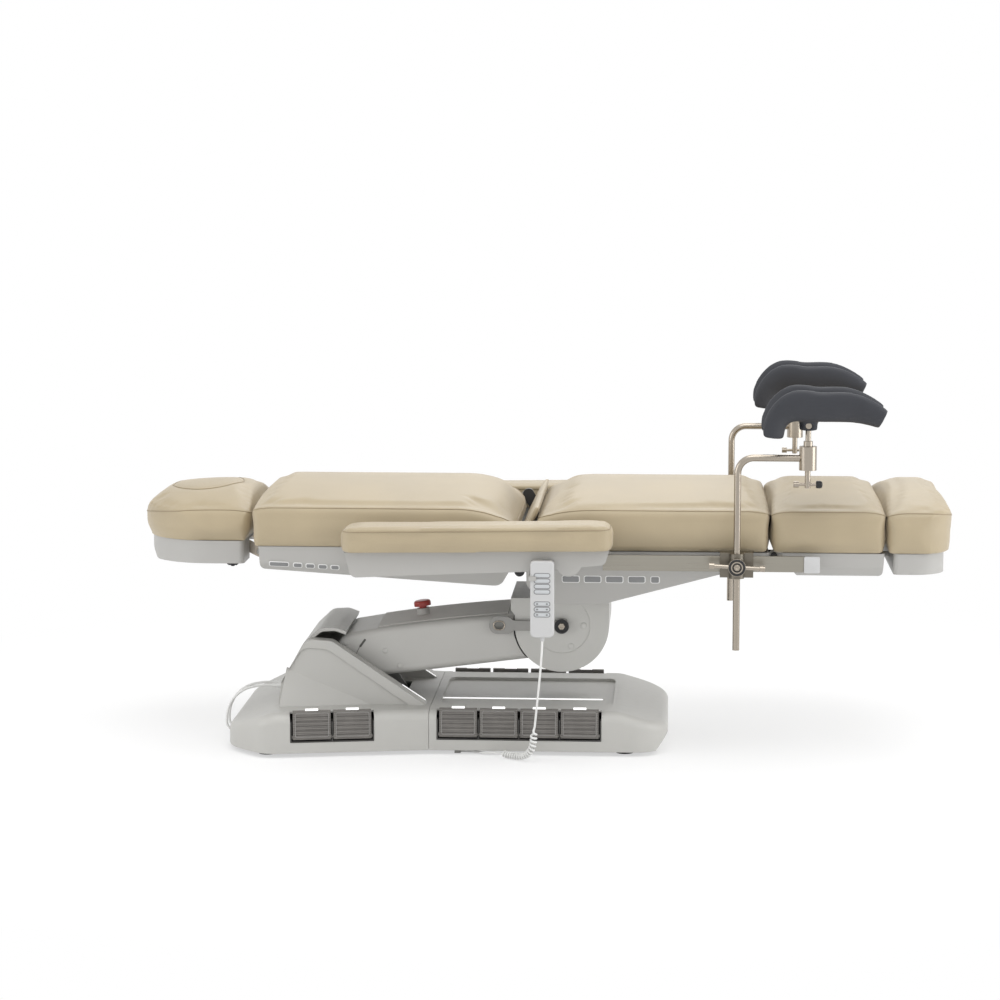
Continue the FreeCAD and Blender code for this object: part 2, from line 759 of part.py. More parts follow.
def seat_pan():
    """Seat pan shell with the holes that the seat frame passes through."""
    x0 = BACK_FRONT_X
    x1 = SEAT_FRONT_X + PAN_INSET
    solids = []
    for inset in (0.0, PAN_WALL):
        top = PAN_TOP + (inset > 0) * PAN_WALL
        body = prism_y(seat_pan_side(inset), -HALF_WIDTH, HALF_WIDTH)
        section = pan_section(
            x0, x1, PAN_HALF_WIDTH, top, SEAT_PAN_CREASE, SEAT_PAN_DEEP - PAN_KEEL, SEAT_PAN_FLOOR_HALF, inset
        )
        solids.append(body.common(section))
    bore = TURNTABLE_RADIUS + SEAT_FIT
    reach = PAN_HALF_WIDTH + 1
    holes = [rod_z(KNUCKLE_X, 0, bore, SWIVEL_PLANE, SWIVEL_PLANE + TURNTABLE_THICK + 1)]
    for x, z, radius in cross_rods():
        holes.append(rod_y(x, z, radius + SEAT_FIT, -reach, reach))
    for x in STANDOFF_XS:
        holes.append(rod_y(x, standoff_z(), STANDOFF_RADIUS + SEAT_FIT, -reach, reach))
    holes.append(hook_strip(SEAT_FIT))
    holes.append(both(yoke_lug(SEAT_FIT)))
    holes.append(both(leg_ear(SEAT_FIT)))
    return cut_all(solids[0].cut(solids[1]), holes)


def back_pan_side(inset):
    """Wedge-shaped side outline of the back pan."""
    rear = BACK_REAR_X + PAN_INSET + inset
    front = BACK_FRONT_X - PAN_INSET - inset
    top = BACK_PAN_TOP + (inset > 0) * PAN_WALL
    return [
        (rear, top, 0),
        (rear + 4, BACK_PAN_REAR_Z + inset, 12),
        (front - 22, BACK_PAN_FRONT_Z + inset, 26),
        (front, BACK_PAN_FRONT_Z + 40, 12),
        (front - 6, top, 0),
    ]


def back_pan():
    """Back pan shell with hinge ears beside the cushion and lugs for the head bracket."""
    x0 = BACK_REAR_X
    x1 = BACK_FRONT_X
    solids = []
    for inset in (0.0, PAN_WALL):
        top = BACK_PAN_TOP + (inset > 0) * PAN_WALL
        body = prism_y(back_pan_side(inset), -HALF_WIDTH, HALF_WIDTH)
        section = pan_section(
            x0, x1, PAN_HALF_WIDTH, top, SEAT_PAN_CREASE, BACK_PAN_FRONT_Z, PAN_BEVEL_HALF, inset
        )
        solids.append(body.common(section))
    shell = solids[0].cut(solids[1])
    inner = EAR_INNER + EAR_THICK + 1
    outer = inner + EAR_THICK
    root_x = BACK_PIVOT_X - 74
    root_z = SEAT_PAN_CREASE + 18
    ear = strap((BACK_PIVOT_X, BACK_PIVOT_Z), (root_x, root_z), EAR_RADIUS, EAR_RADIUS, inner, outer)
    wall_y = PAN_HALF_WIDTH - PAN_WALL
    bridge = block(root_x - 40, root_x, wall_y, outer, root_z - EAR_RADIUS, root_z + EAR_RADIUS)
    lug_x = BACK_REAR_X + PAN_INSET + PAN_WALL
    lug = strap(
        (HEAD_PIVOT_X, HEAD_PIVOT_Z), (lug_x + 8, HEAD_PIVOT_Z + 8), 12, 12,
        HEAD_LUG_INNER, HEAD_LUG_INNER + BRACKET_BAR,
    )
    lug_pin = rod_y(
        HEAD_PIVOT_X, HEAD_PIVOT_Z, GUIDE_RADIUS, HEAD_LUG_INNER, HEAD_LUG_INNER + 2 * BRACKET_BAR + 4
    )
    bore = rod_y(BACK_PIVOT_X, BACK_PIVOT_Z, HINGE_PIN + RUNNING, -outer - 1, outer + 1)
    parts = [shell] + [s for piece in (ear, bridge, lug, lug_pin) for s in (piece, mirrored(piece))]
    return fused(parts).cut(bore)


def head_pan():
    """Head pan: a board with a skirt that is open below."""
    outer = prism_z(head_plan(PAN_INSET), HEAD_PAN_FLOOR, BACK_PAN_TOP)
    lead = prism_y(
        [
            (HEAD_END_X, BACK_PAN_TOP, 0),
            (HEAD_END_X + HEAD_PAN_LEAD, HEAD_PAN_FLOOR, 10),
            (HEAD_FRONT_X, HEAD_PAN_FLOOR, 0),
            (HEAD_FRONT_X, BACK_PAN_TOP, 0),
        ],
        -HEAD_HALF_WIDTH, HEAD_HALF_WIDTH,
    )
    inner = prism_z(head_plan(PAN_INSET + PAN_WALL), HEAD_PAN_FLOOR - 1, BACK_PAN_TOP - 2 * PAN_WALL)
    slots = block(
        HEAD_FRONT_X - 60, HEAD_FRONT_X, -bracket_outer() - 1, bracket_outer() + 1,
        HEAD_PAN_FLOOR - 1, BACK_PAN_TOP - 2 * PAN_WALL,
    )
    return outer.common(lead).cut(inner).cut(slots)


def leg_pan_side(inset):
    """Side outline of the leg pan, cut away below the hinge."""
    rear = LEG_PIVOT_X + EAR_RADIUS + 3
    front = LEG_FRONT_X - inset
    floor = LEG_PAN_FLOOR + inset
    top = PAN_TOP + (inset > 0) * PAN_WALL
    cut_back = rear - inset * 8
    return [
        (cut_back, top, 0),
        (cut_back, PAN_TOP - 12 + inset, 0),
        (rear + 34, floor, 8),
        (front - 4, floor, 12),
        (front, top, 0),
    ]


def guide_z():
    """Height of the foot section's guide rods."""
    return (LEG_PAN_FLOOR + PAN_TOP) / 2 + 3


def leg_pan():
    """Leg pan shell with hinge ears and bearing walls for the guide rods."""
    solids = []
    for inset in (0.0, PAN_WALL):
        top = PAN_TOP + (inset > 0) * PAN_WALL
        body = prism_y(leg_pan_side(inset), -HALF_WIDTH, HALF_WIDTH)
        section = pan_section(
            LEG_PIVOT_X - 40, LEG_FRONT_X + PAN_INSET, PAN_HALF_WIDTH, top, SEAT_PAN_CREASE, LEG_PAN_FLOOR,
            PAN_HALF_WIDTH - LEG_PAN_TUCK, inset,
        )
        solids.append(body.common(section))
    shell = solids[0].cut(solids[1])
    inner = LADDER_INNER + 2 * EAR_THICK
    ear = strap(
        (LEG_PIVOT_X, LEG_PIVOT_Z), (LEG_PIVOT_X + 66, PAN_TOP - EAR_RADIUS - 2), EAR_RADIUS, EAR_RADIUS,
        inner, inner + EAR_THICK,
    )
    foot = block(
        LEG_PIVOT_X + 50, LEG_PIVOT_X + 66, inner, inner + EAR_THICK, LEG_PAN_FLOOR + 1, PAN_TOP - EAR_RADIUS
    )
    walls = []
    for x in (LEG_FRONT_X - 56, LEG_FRONT_X - 14):
        walls.append(block(x, x + 10, -GUIDE_Y - 30, GUIDE_Y + 30, LEG_PAN_FLOOR + 1, PAN_TOP - 2))
    parts = [shell, ear, mirrored(ear), foot, mirrored(foot)] + walls
    bores = [rod_y(LEG_PIVOT_X, LEG_PIVOT_Z, HINGE_PIN + RUNNING, -HALF_WIDTH, HALF_WIDTH)]
    for y in (-GUIDE_Y, GUIDE_Y):
        bores.append(rod_x(y, guide_z(), GUIDE_RADIUS + RUNNING, LEG_FRONT_X - 60, LEG_FRONT_X + 1))
    return cut_all(fused(parts), bores)


def foot_pan():
    """Foot pan shell with its two guide rods."""
    outer = prism_z(foot_plan(PAN_INSET), FOOT_PAN_FLOOR, PAN_TOP)
    inner = prism_z(foot_plan(PAN_INSET + PAN_WALL), FOOT_PAN_FLOOR + PAN_WALL, PAN_TOP + 1)
    parts = [outer.cut(inner)]
    rod_end = FOOT_REAR_X + PAN_INSET + PAN_WALL
    for y in (-GUIDE_Y, GUIDE_Y):
        parts.append(rod_x(y, guide_z(), GUIDE_RADIUS, rod_end - GUIDE_LENGTH, rod_end))
    return fused(parts)


# Seat frame

def cross_rods():
    """Round bars that run right across the seat frame: (x, z, radius)."""
    return [(REST_PIVOT_X, REST_PIVOT_Z, CROSS_RADIUS), (EAR_ROD_X, EAR_ROD_Z, CROSS_RADIUS)]


def standoff_z():
    """Height of the rails' middle."""
    return RAIL_Z + RAIL_HEIGHT / 2


def hook_strip(play):
    """Flat strip that carries the handset, with a turned-up lip outside it."""
    x1 = HANDSET_X - HANDSET_WIDTH / 2 - SEAT_FIT
    x0 = x1 - HOOK_THICK
    outer = HANDSET_INNER + HANDSET_THICK
    strip = block(
        x0 - play, x1 + play, -outer - HOOK_THICK, -LADDER_INNER - LADDER_WIDTH + 1,
        HOOK_Z - play, HOOK_Z + HOOK_HEIGHT + play,
    )
    lip = block(x0, x1 + HOOK_LIP, -outer - HOOK_THICK, -outer - SEAT_FIT, HOOK_Z, HOOK_Z + HOOK_HEIGHT)
    return strip.fuse(lip)


def yoke_lug(play):
    """Lug that carries the dark yoke tube in the gap behind the seat pan."""
    return block(
        SEAT_REAR_X - play, EAR_ROD_X + CROSS_BAR, YOKE_LUG_Y - play, YOKE_LUG_Y + YOKE_LUG_THICK + play,
        LADDER_Z - YOKE_LUG_BELOW - play, LADDER_Z + YOKE_LUG_ABOVE + play,
    )


def leg_ear(play):
    """Hinge ear of the leg section on the seat frame."""
    y0 = LADDER_INNER - play
    y1 = LADDER_INNER + EAR_THICK + play
    radius = EAR_RADIUS - 2 + play
    return strap((LEG_PIVOT_X, LEG_PIVOT_Z), (SEAT_FRONT_X - 30, LEG_PIVOT_Z), radius, radius, y0, y1)


def pedestal():
    """Open box between the turntable and the ladder frame."""
    low = SWIVEL_PLANE + TURNTABLE_THICK
    wall = PEDESTAL_WALL
    x0 = KNUCKLE_X - PEDESTAL_BEHIND
    x1 = KNUCKLE_X + PEDESTAL_AHEAD
    y = PEDESTAL_HALF
    outer = block(x0, x1, -y, y, low, LADDER_Z + 8)
    return outer.cut(block(x0 + wall, x1 - wall, wall - y, y - wall, low + wall, LADDER_Z + 9))


def seat_frame():
    """Turntable, pedestal, ladder frame, cross rods, hinge ears and stand-offs."""
    table = SWIVEL_PLANE + SEAT_FIT
    parts = [
        rod_z(KNUCKLE_X, 0, TURNTABLE_RADIUS, table, table + TURNTABLE_THICK),
        rod_z(KNUCKLE_X, 0, SPIGOT_RADIUS, SWIVEL_PLANE - SPIGOT_LENGTH, SWIVEL_PLANE + 2),
        pedestal(),
    ]
    ladder_rear = hook_strip(0).BoundBox.XMin
    ladder_end = SEAT_FRONT_X - PAN_INSET
    outer = LADDER_INNER + LADDER_WIDTH
    top = LADDER_Z + LADDER_HEIGHT
    tip_low = SEAT_PAN_CREASE + TIP_BAR_LIFT
    for y in (LADDER_INNER, -outer):
        far = y + LADDER_WIDTH
        parts.append(block(ladder_rear, SEAT_PAN_TIP_X - LADDER_SHORT, y, far, LADDER_Z, top))
        parts.append(block(ladder_rear, ladder_end, y, far, tip_low, top + TIP_BAR_STEP))
    bar_xs = (
        KNUCKLE_X - PEDESTAL_BEHIND,
        KNUCKLE_X + PEDESTAL_AHEAD - CROSS_BAR,
        SEAT_PAN_TIP_X - LADDER_SHORT - CROSS_BAR,
    )
    for x in bar_xs:
        parts.append(block(x, x + CROSS_BAR, -outer, outer, LADDER_Z, top - 4))
    rest_end = REST_SHELL_INNER + REST_SHELL_WIDTH - PAN_WALL - 2
    ear_end = EAR_INNER + EAR_THICK
    parts.append(rod_y(REST_PIVOT_X, REST_PIVOT_Z, CROSS_RADIUS, -rest_end, rest_end))
    parts.append(rod_y(EAR_ROD_X, EAR_ROD_Z, CROSS_RADIUS, -ear_end, ear_end))
    ear = strap(
        (BACK_PIVOT_X, BACK_PIVOT_Z), (EAR_ROD_X, EAR_ROD_Z), EAR_RADIUS, EAR_RADIUS, EAR_INNER, ear_end
    )
    pin = rod_y(BACK_PIVOT_X, BACK_PIVOT_Z, HINGE_PIN, EAR_INNER, ear_end + EAR_THICK + 3)
    leg_pin = rod_y(LEG_PIVOT_X, LEG_PIVOT_Z, HINGE_PIN, LADDER_INNER, LADDER_INNER + 3 * EAR_THICK + 3)
    for piece in (ear, pin, leg_ear(0), leg_pin, yoke_lug(0)):
        parts += [piece, mirrored(piece)]
    yoke_half = LADDER_INNER + YOKE_MARGIN
    parts.append(rod_y(SEAT_REAR_X, LADDER_Z - YOKE_DROP, YOKE_RADIUS, -yoke_half, yoke_half))
    for x in STANDOFF_XS:
        standoff = rod_y(x, standoff_z(), STANDOFF_RADIUS, outer - 2, RAIL_INNER)
        parts += [standoff, mirrored(standoff)]
    parts.append(hook_strip(0))
    return fused(parts)


def side_rails():
    """Two flat rails, each with a square stop at the foot end."""
    bar = block(RAIL_REAR_X, RAIL_FRONT_X, RAIL_INNER, RAIL_INNER + RAIL_THICK, RAIL_Z, RAIL_Z + RAIL_HEIGHT)
    stop = block(
        RAIL_FRONT_X, RAIL_FRONT_X + RAIL_STOP, RAIL_INNER - 3, RAIL_INNER + RAIL_THICK + 5,
        RAIL_Z + 2, RAIL_Z + 2 + RAIL_STOP,
    )
    rail = bar.fuse(stop).removeSplitter()
    return group([rail, mirrored(rail)])


def seat_actuators():
    """Back and leg actuators, hung under the seat frame's front cross bar."""
    x0 = KNUCKLE_X + SEAT_ACTUATOR_AHEAD
    y = SEAT_ACTUATOR_Y
    z = LADDER_Z - SEAT_ACTUATOR_DROP
    hanger_x = x0 + SEAT_HANGER_AHEAD
    end_x = hanger_x + SEAT_HANGER_LENGTH
    y0 = y - SEAT_HANGER_HALF
    y1 = y + SEAT_HANGER_HALF
    top = LADDER_Z + 12
    tube = rod_x(y, z, SEAT_ACTUATOR_RADIUS, x0, x0 + SEAT_ACTUATOR_LENGTH)
    motor = rod_y(x0 + SEAT_MOTOR_AHEAD, z + 2, SEAT_MOTOR_RADIUS, y - SEAT_MOTOR_LENGTH, y)
    hanger = block(hanger_x, end_x, y0, y1, z, top)
    tie = block(KNUCKLE_X + PEDESTAL_AHEAD, end_x, y0, y1, LADDER_Z + 4, top)
    unit = fused([tube, motor, hanger, tie])
    return group([unit, mirrored(unit)])


# Armrests

def rest_line(x):
    """Height of the armrest pad's underside, which rises a little towards the front."""
    share = (x - REST_REAR_X) / (REST_FRONT_X - REST_REAR_X)
    return REST_SEAT_REAR_Z + share * (REST_SEAT_FRONT_Z - REST_SEAT_REAR_Z)


def armrest_pad():
    """Far armrest pad: a long padded bar with rounded ends and a crowned top."""
    x0 = REST_REAR_X
    x1 = REST_FRONT_X
    side = [
        (x0, rest_line(x0), 10),
        (x1, rest_line(x1), 10),
        (x1, rest_line(x1) + REST_PAD_THICK, 24),
        (x0, rest_line(x0) + REST_PAD_THICK, 24),
    ]
    y0 = REST_INNER
    y1 = REST_INNER + REST_WIDTH
    plan = [(x0, y0, 34), (x1, y0, 34), (x1, y1, 34), (x0, y1, 34)]
    low = REST_SEAT_REAR_Z - 1
    high = REST_SEAT_FRONT_Z + REST_PAD_THICK + 1
    return prism_y(side, y0, y1).common(prism_z(plan, low, high))


def armrest_shell():
    """Far armrest shell with its pivot boss."""
    y0 = REST_SHELL_INNER
    y1 = REST_SHELL_INNER + REST_SHELL_WIDTH
    solids = []
    for inset in (0.0, PAN_WALL):
        x0 = REST_REAR_X + 8 + inset
        x1 = REST_FRONT_X - 8 - inset
        lift = (inset > 0) * (PAN_WALL + 1)
        side = [
            (x0, rest_line(x0) + lift, 0),
            (x0 + 14, rest_line(x0) - REST_SHELL_DEPTH + inset, 18),
            (REST_PIVOT_X - 70, rest_line(REST_PIVOT_X) - REST_SHELL_DEPTH + 10 + inset, 30),
            (x1 - 10, rest_line(x1) - REST_SHELL_DEPTH + 24 + inset, 16),
            (x1, rest_line(x1) + lift, 0),
        ]
        body = prism_y(side, y0 + inset, y1 - inset)
        if inset == 0:
            body = body.fuse(rod_y(REST_PIVOT_X, REST_PIVOT_Z, REST_BOSS, y0, y1))
        else:
            body = body.fuse(rod_y(REST_PIVOT_X, REST_PIVOT_Z, REST_BOSS - inset, y0 + inset, y1 - inset))
        solids.append(body)
    hub = rod_y(REST_PIVOT_X, REST_PIVOT_Z, CROSS_RADIUS + 6, y0, y1 - 1)
    bore = rod_y(REST_PIVOT_X, REST_PIVOT_Z, CROSS_RADIUS + RUNNING, y0 - 1, y1 - PAN_WALL)
    return solids[0].cut(solids[1]).fuse(hub).removeSplitter().cut(bore)


# Head bracket

def bracket_outer():
    """Outer face of the head bracket's bars."""
    return HEAD_LUG_INNER + 2 * BRACKET_BAR + 2


def head_bracket():
    """Two bars under the head pan that turn on the back pan's lugs."""
    y1 = bracket_outer()
    y0 = y1 - BRACKET_BAR
    board = BACK_PAN_TOP - 2 * PAN_WALL
    reach = (HEAD_END_X + 70, board - 12)
    bar = strap((HEAD_PIVOT_X, HEAD_PIVOT_Z), (HEAD_PIVOT_X - 34, board - 14), 13, 13, y0, y1)
    top = block(reach[0], HEAD_PIVOT_X - 34, y0, y1, board - 26, board)
    bore = rod_y(HEAD_PIVOT_X, HEAD_PIVOT_Z, GUIDE_RADIUS + RUNNING, y0 - 1, y1 + 1)
    arm = bar.fuse(top).removeSplitter().cut(bore)
    tie = block(reach[0], reach[0] + 20, -y1, y1, board - 18, board)
    drop = block(HEAD_KNOB_X - 12, HEAD_KNOB_X + 12, -y1, -y0, HEAD_KNOB_Z - 10, board - 20)
    stud = rod_y(HEAD_KNOB_X, HEAD_KNOB_Z, GUIDE_RADIUS, -y1 - 22, -y0)
    return fused([arm, mirrored(arm), tie, drop, stud])


def head_knob():
    """Black lock knob on the bracket's stud, with finger flutes."""
    y1 = -bracket_outer() - 2
    knob = rod_y(HEAD_KNOB_X, HEAD_KNOB_Z, HEAD_KNOB_RADIUS, y1 - 24, y1)
    flutes = []
    for i in range(10):
        a = math.radians(36 * i)
        x = HEAD_KNOB_X + (HEAD_KNOB_RADIUS + 1.5) * math.cos(a)
        z = HEAD_KNOB_Z + (HEAD_KNOB_RADIUS + 1.5) * math.sin(a)
        flutes.append(rod_y(x, z, 3, y1 - 25, y1 + 1))
    bore = rod_y(HEAD_KNOB_X, HEAD_KNOB_Z, GUIDE_RADIUS + RUNNING, y1 - 20, y1 + 1)
    return cut_all(knob, flutes + [bore])


# Lift arm

def arm_circle():
    """Circle of the arm cover's arched top: centre x, centre z and radius."""
    rear = V(LIFT_X, LIFT_Z + ARM_ABOVE_ROOT, 0)
    front = V(KNUCKLE_X, KNUCKLE_Z + ARM_ABOVE_KNUCKLE, 0)
    chord = front - rear
    radius = (chord.Length ** 2 / 4 + ARM_ARCH ** 2) / (2 * ARM_ARCH)
    down = V(chord.y, -chord.x, 0)
    down.normalize()
    centre = (rear + front) * 0.5 + down * (radius - ARM_ARCH)
    return centre.x, centre.y, radius


def arm_top(x):
    """Height of the arm cover's arched top."""
    cx, cz, radius = arm_circle()
    return cz + math.sqrt(radius ** 2 - (x - cx) ** 2)


def arm_bottom(x):
    """Height of the arm cover's bottom line."""
    share = (x - LIFT_X) / ARM_RUN
    return LIFT_Z - ARM_BELOW_ROOT + share * (ARM_RISE + ARM_BELOW_ROOT - ARM_BELOW_KNUCKLE)


def arm_body(inset):
    """Arm cover's outer form, or its hollow, before the openings are cut."""
    rear = LIFT_X - ARM_OVERHANG + inset
    front = KNUCKLE_X - KNUCKLE_RADIUS / 3
    half = ARM_HALF_WIDTH - inset
    high = arm_top(front) + ARM_ROUND
    cx, cz, radius = arm_circle()
    side = [
        (rear, high, 0),
        (rear, arm_bottom(rear) + inset, ARM_HEEL - inset),
        (front, arm_bottom(front) + inset, 0),
        (front, high, 0),
    ]
    body = prism_y(side, -half, half).common(rod_y(cx, cz, radius - inset, -half - 1, half + 1))
    return body.makeFillet(ARM_HEEL - inset, [e for e in body.Edges if on_heel(e, rear)])


def on_heel(edge, rear):
    """Whether an edge is the arm cover's upper rear one."""
    ends = [v.Point for v in edge.Vertexes]
    return all(abs(p.x - rear) < 0.01 and p.z > LIFT_Z for p in ends)


def on_top_ridge(edge):
    """Whether an edge is one of the arm cover's two long top edges."""
    ends = [v.Point for v in edge.Vertexes]
    beside = all(abs(abs(p.y) - ARM_HALF_WIDTH) < 0.01 for p in ends)
    return beside and all(abs(p.z - arm_top(p.x)) < 0.01 for p in ends) and abs(ends[0].x - ends[-1].x) > 50


def wedge_y(x, z, a0, a1, r0, r1, y):
    """Ring sector about a cross axis, from angle a0 to a1 in degrees."""
    face = Part.makePolygon([V(r0, -y, 0), V(r1, -y, 0), V(r1, y, 0), V(r0, y, 0), V(r0, -y, 0)])
    ring = Part.Face(face).revolve(V(0, 0, 0), V(0, -1, 0), a1 - a0)
    ring.rotate(V(0, 0, 0), V(0, -1, 0), a0)
    ring.translate(V(x, 0, z))
    return ring


def arm_cover():
    """Arm cover shell: hollow, open towards the knuckle and round the bearing cheeks at its root."""
    outer = arm_body(0)
    outer = outer.makeFillet(ARM_ROUND, [e for e in outer.Edges if on_top_ridge(e)])
    reach = ARM_HALF_WIDTH + 1
    opening = frame_cheek()[1] + CHEEK_PLATE_GAP
    tools = [
        arm_body(ARM_WALL),
        rod_y(KNUCKLE_X, KNUCKLE_Z, KNUCKLE_RADIUS + ARM_GAP, -reach, reach),
        wedge_y(LIFT_X, LIFT_Z, -205, -40, CHEEK_HEAD, ARM_BELOW_ROOT + ARM_OVERHANG, opening),
    ]
    return cut_all(outer, tools)


def top_axis():
    """Direction square to the arm's top at the stop button."""
    cx, cz, radius = arm_circle()
    return V((STOP_X - cx) / radius, 0, (arm_top(STOP_X) - cz) / radius)


def top_point(rise):
    """Point on the stop button's axis, above the arm's top."""
    return V(STOP_X, 0, arm_top(STOP_X)) + top_axis() * rise


def arm_top_panel():
    """Dark textured panel on the arm, with the stop button's collar."""
    cx, cz, radius = arm_circle()
    half = PANEL_HALF_WIDTH
    low = arm_top(PANEL_REAR_X) - PANEL_THICK
    high = arm_top(PANEL_FRONT_X) + 2 * PANEL_THICK
    span = block(PANEL_REAR_X, PANEL_FRONT_X, -half, half, low, high)
    plate = span.common(rod_y(cx, cz, radius + PANEL_THICK, -half - 1, half + 1))
    plate = plate.cut(rod_y(cx, cz, radius, -half - 1, half + 1))
    collar = Part.makeCylinder(COLLAR_RADIUS, COLLAR_HEIGHT + PANEL_THICK, top_point(0), top_axis())
    bore = Part.makeCylinder(STOP_STEM + SEAT_FIT, COLLAR_HEIGHT + 1, top_point(PANEL_THICK), top_axis())
    return plate.fuse(collar).removeSplitter().cut(bore)


def estop_button():
    """Red mushroom button on its stem."""
    start = PANEL_THICK + STOP_TRAVEL + 1
    rim = PANEL_THICK + COLLAR_HEIGHT + STOP_TRAVEL + 0.5
    stem = Part.makeCylinder(STOP_STEM, rim - start + 1, top_point(start), top_axis())
    cap = Part.makeCylinder(STOP_RADIUS, STOP_HEIGHT, top_point(rim), top_axis())
    top_edge = max(cap.Edges, key=lambda e: e.CenterOfMass.z)
    cap = cap.makeFillet(STOP_HEIGHT * 0.45, [top_edge])
    return stem.fuse(cap).removeSplitter()


def along_arm(shape):
    """Turn a piece drawn along X from the lift pivot into the arm's resting place."""
    placed = shape.copy()
    placed.rotate(V(0, 0, 0), V(0, 1, 0), -ARM_ANGLE)
    placed.translate(V(LIFT_X, 0, LIFT_Z))
    return placed


def frame_cheek():
    """Inner and outer faces of the base frame's bearing cheeks, inside the arm cover."""
    inner = LINK_INNER + LINK_THICK + CHEEK_PLATE_GAP
    return inner, inner + CHEEK_PLATE


def arm_beam():
    """Box beam of the arm with its two cross shafts and the stays that hold its cover."""
    beam = block(0, ARM_LENGTH, -BEAM_HALF_WIDTH, BEAM_HALF_WIDTH, -BEAM_HALF_HEIGHT, BEAM_HALF_HEIGHT)
    wall = ARM_WALL
    core = block(
        BEAM_EYE, ARM_LENGTH - BEAM_EYE, wall - BEAM_HALF_WIDTH, BEAM_HALF_WIDTH - wall,
        wall - BEAM_HALF_HEIGHT, BEAM_HALF_HEIGHT - wall,
    )
    parts = [beam.cut(core)]
    reach = (frame_cheek()[1], KNUCKLE_HALF_WIDTH - SHAFT_RADIUS)
    for u, end in zip((0, ARM_LENGTH), reach):
        parts.append(rod_y(u, 0, BEAM_EYE, -BEAM_EYE_HALF, BEAM_EYE_HALF))
        parts.append(rod_y(u, 0, SHAFT_RADIUS, -end, end))
    inside = ARM_HALF_WIDTH - ARM_WALL
    for share in COVER_STAYS:
        u = share * ARM_LENGTH - STAY_WIDTH / 2
        parts.append(block(u, u + STAY_WIDTH, -inside, inside, 2, 2 + STAY_WIDTH))
    return along_arm(fused(parts))


def parallel_link():
    """Two bars beside the beam that keep the seat level."""
    y1 = LINK_INNER + LINK_THICK
    ends = ((LINK_U, LINK_V), (LINK_U + ARM_LENGTH, LINK_V))
    bar = strap(*ends, LINK_HALF_HEIGHT + 2, LINK_HALF_HEIGHT + 2, LINK_INNER, y1)
    slim = block(
        LINK_U + 30, LINK_U + ARM_LENGTH - 30, LINK_INNER - 1, y1 + 1, LINK_V + LINK_HALF_HEIGHT, LINK_V + 40
    )
    bores = [rod_y(u, v, LINK_PIN + RUNNING, LINK_INNER - 1, y1 + 1) for u, v in ends]
    bar = cut_all(bar, [slim] + bores)
    return along_arm(group([bar, mirrored(bar)]))


def actuator_v():
    """Line of the lift actuator under the arm's pivot line."""
    return (LINK_V - LINK_REACH) / 2


def lift_actuator_body():
    """Lift actuator's tube, motor and bracket, fixed to the beam's far side."""
    v = actuator_v()
    tube = rod_x(ACTUATOR_Y, v, ACTUATOR_RADIUS, ACTUATOR_START, ACTUATOR_END)
    bore = rod_x(ACTUATOR_Y, v, ROD_RADIUS + SEAT_FIT, ACTUATOR_START + 60, ACTUATOR_END + 1)
    arm = block(ACTUATOR_START, ACTUATOR_START + 40, BEAM_HALF_WIDTH, ACTUATOR_Y + 10, -10, 12)
    drop = block(ACTUATOR_START, ACTUATOR_START + 40, ACTUATOR_Y - 12, ACTUATOR_Y + 10, v, -4)
    return along_arm(fused([tube, arm, drop]).cut(bore))


def lift_actuator_rod():
    """Lift actuator's rod with an eye that has play on the knuckle's pin."""
    v = actuator_v()
    eye_u = LINK_U + ARM_LENGTH
    rod = rod_x(ACTUATOR_Y, v, ROD_RADIUS, ACTUATOR_START + 110, eye_u - ROD_EYE + 2)
    eye = rod_y(eye_u, v, ROD_EYE, ACTUATOR_Y - 8, ACTUATOR_Y + 8)
    hole = rod_y(eye_u, v, LINK_PIN + ROD_PLAY, ACTUATOR_Y - 9, ACTUATOR_Y + 9)
    return along_arm(rod.fuse(eye).removeSplitter().cut(hole))


# Knuckle

def knuckle_outline(inset, y):
    """Knuckle's side outline: a round drum with a broad neck."""
    r = KNUCKLE_RADIUS - inset
    top = SWIVEL_PLANE - inset
    left = KNUCKLE_X - NECK_LEFT + inset
    flank = KNUCKLE_Z + NECK_STEP + inset
    p = on_xz(y)

    def at(x, z):
        return p(V(x, z, 0))

    points = [
        at(KNUCKLE_X - r, KNUCKLE_Z), at(KNUCKLE_X - r, flank), at(left, flank + 12), at(left, top),
        at(KNUCKLE_X + r, top), at(KNUCKLE_X + r, KNUCKLE_Z),
    ]
    edges = [Part.LineSegment(a, b).toShape() for a, b in zip(points, points[1:])]
    edges.append(Part.Arc(points[-1], at(KNUCKLE_X, KNUCKLE_Z - r), points[0]).toShape())
    return Part.Wire(edges)


def link_pin_at_knuckle():
    """Where the link and the actuator rod turn on the knuckle: (x, z)."""
    a = math.radians(ARM_ANGLE)
    x = KNUCKLE_X + LINK_U * math.cos(a) - LINK_V * math.sin(a)
    return x, KNUCKLE_Z + LINK_U * math.sin(a) + LINK_V * math.cos(a)


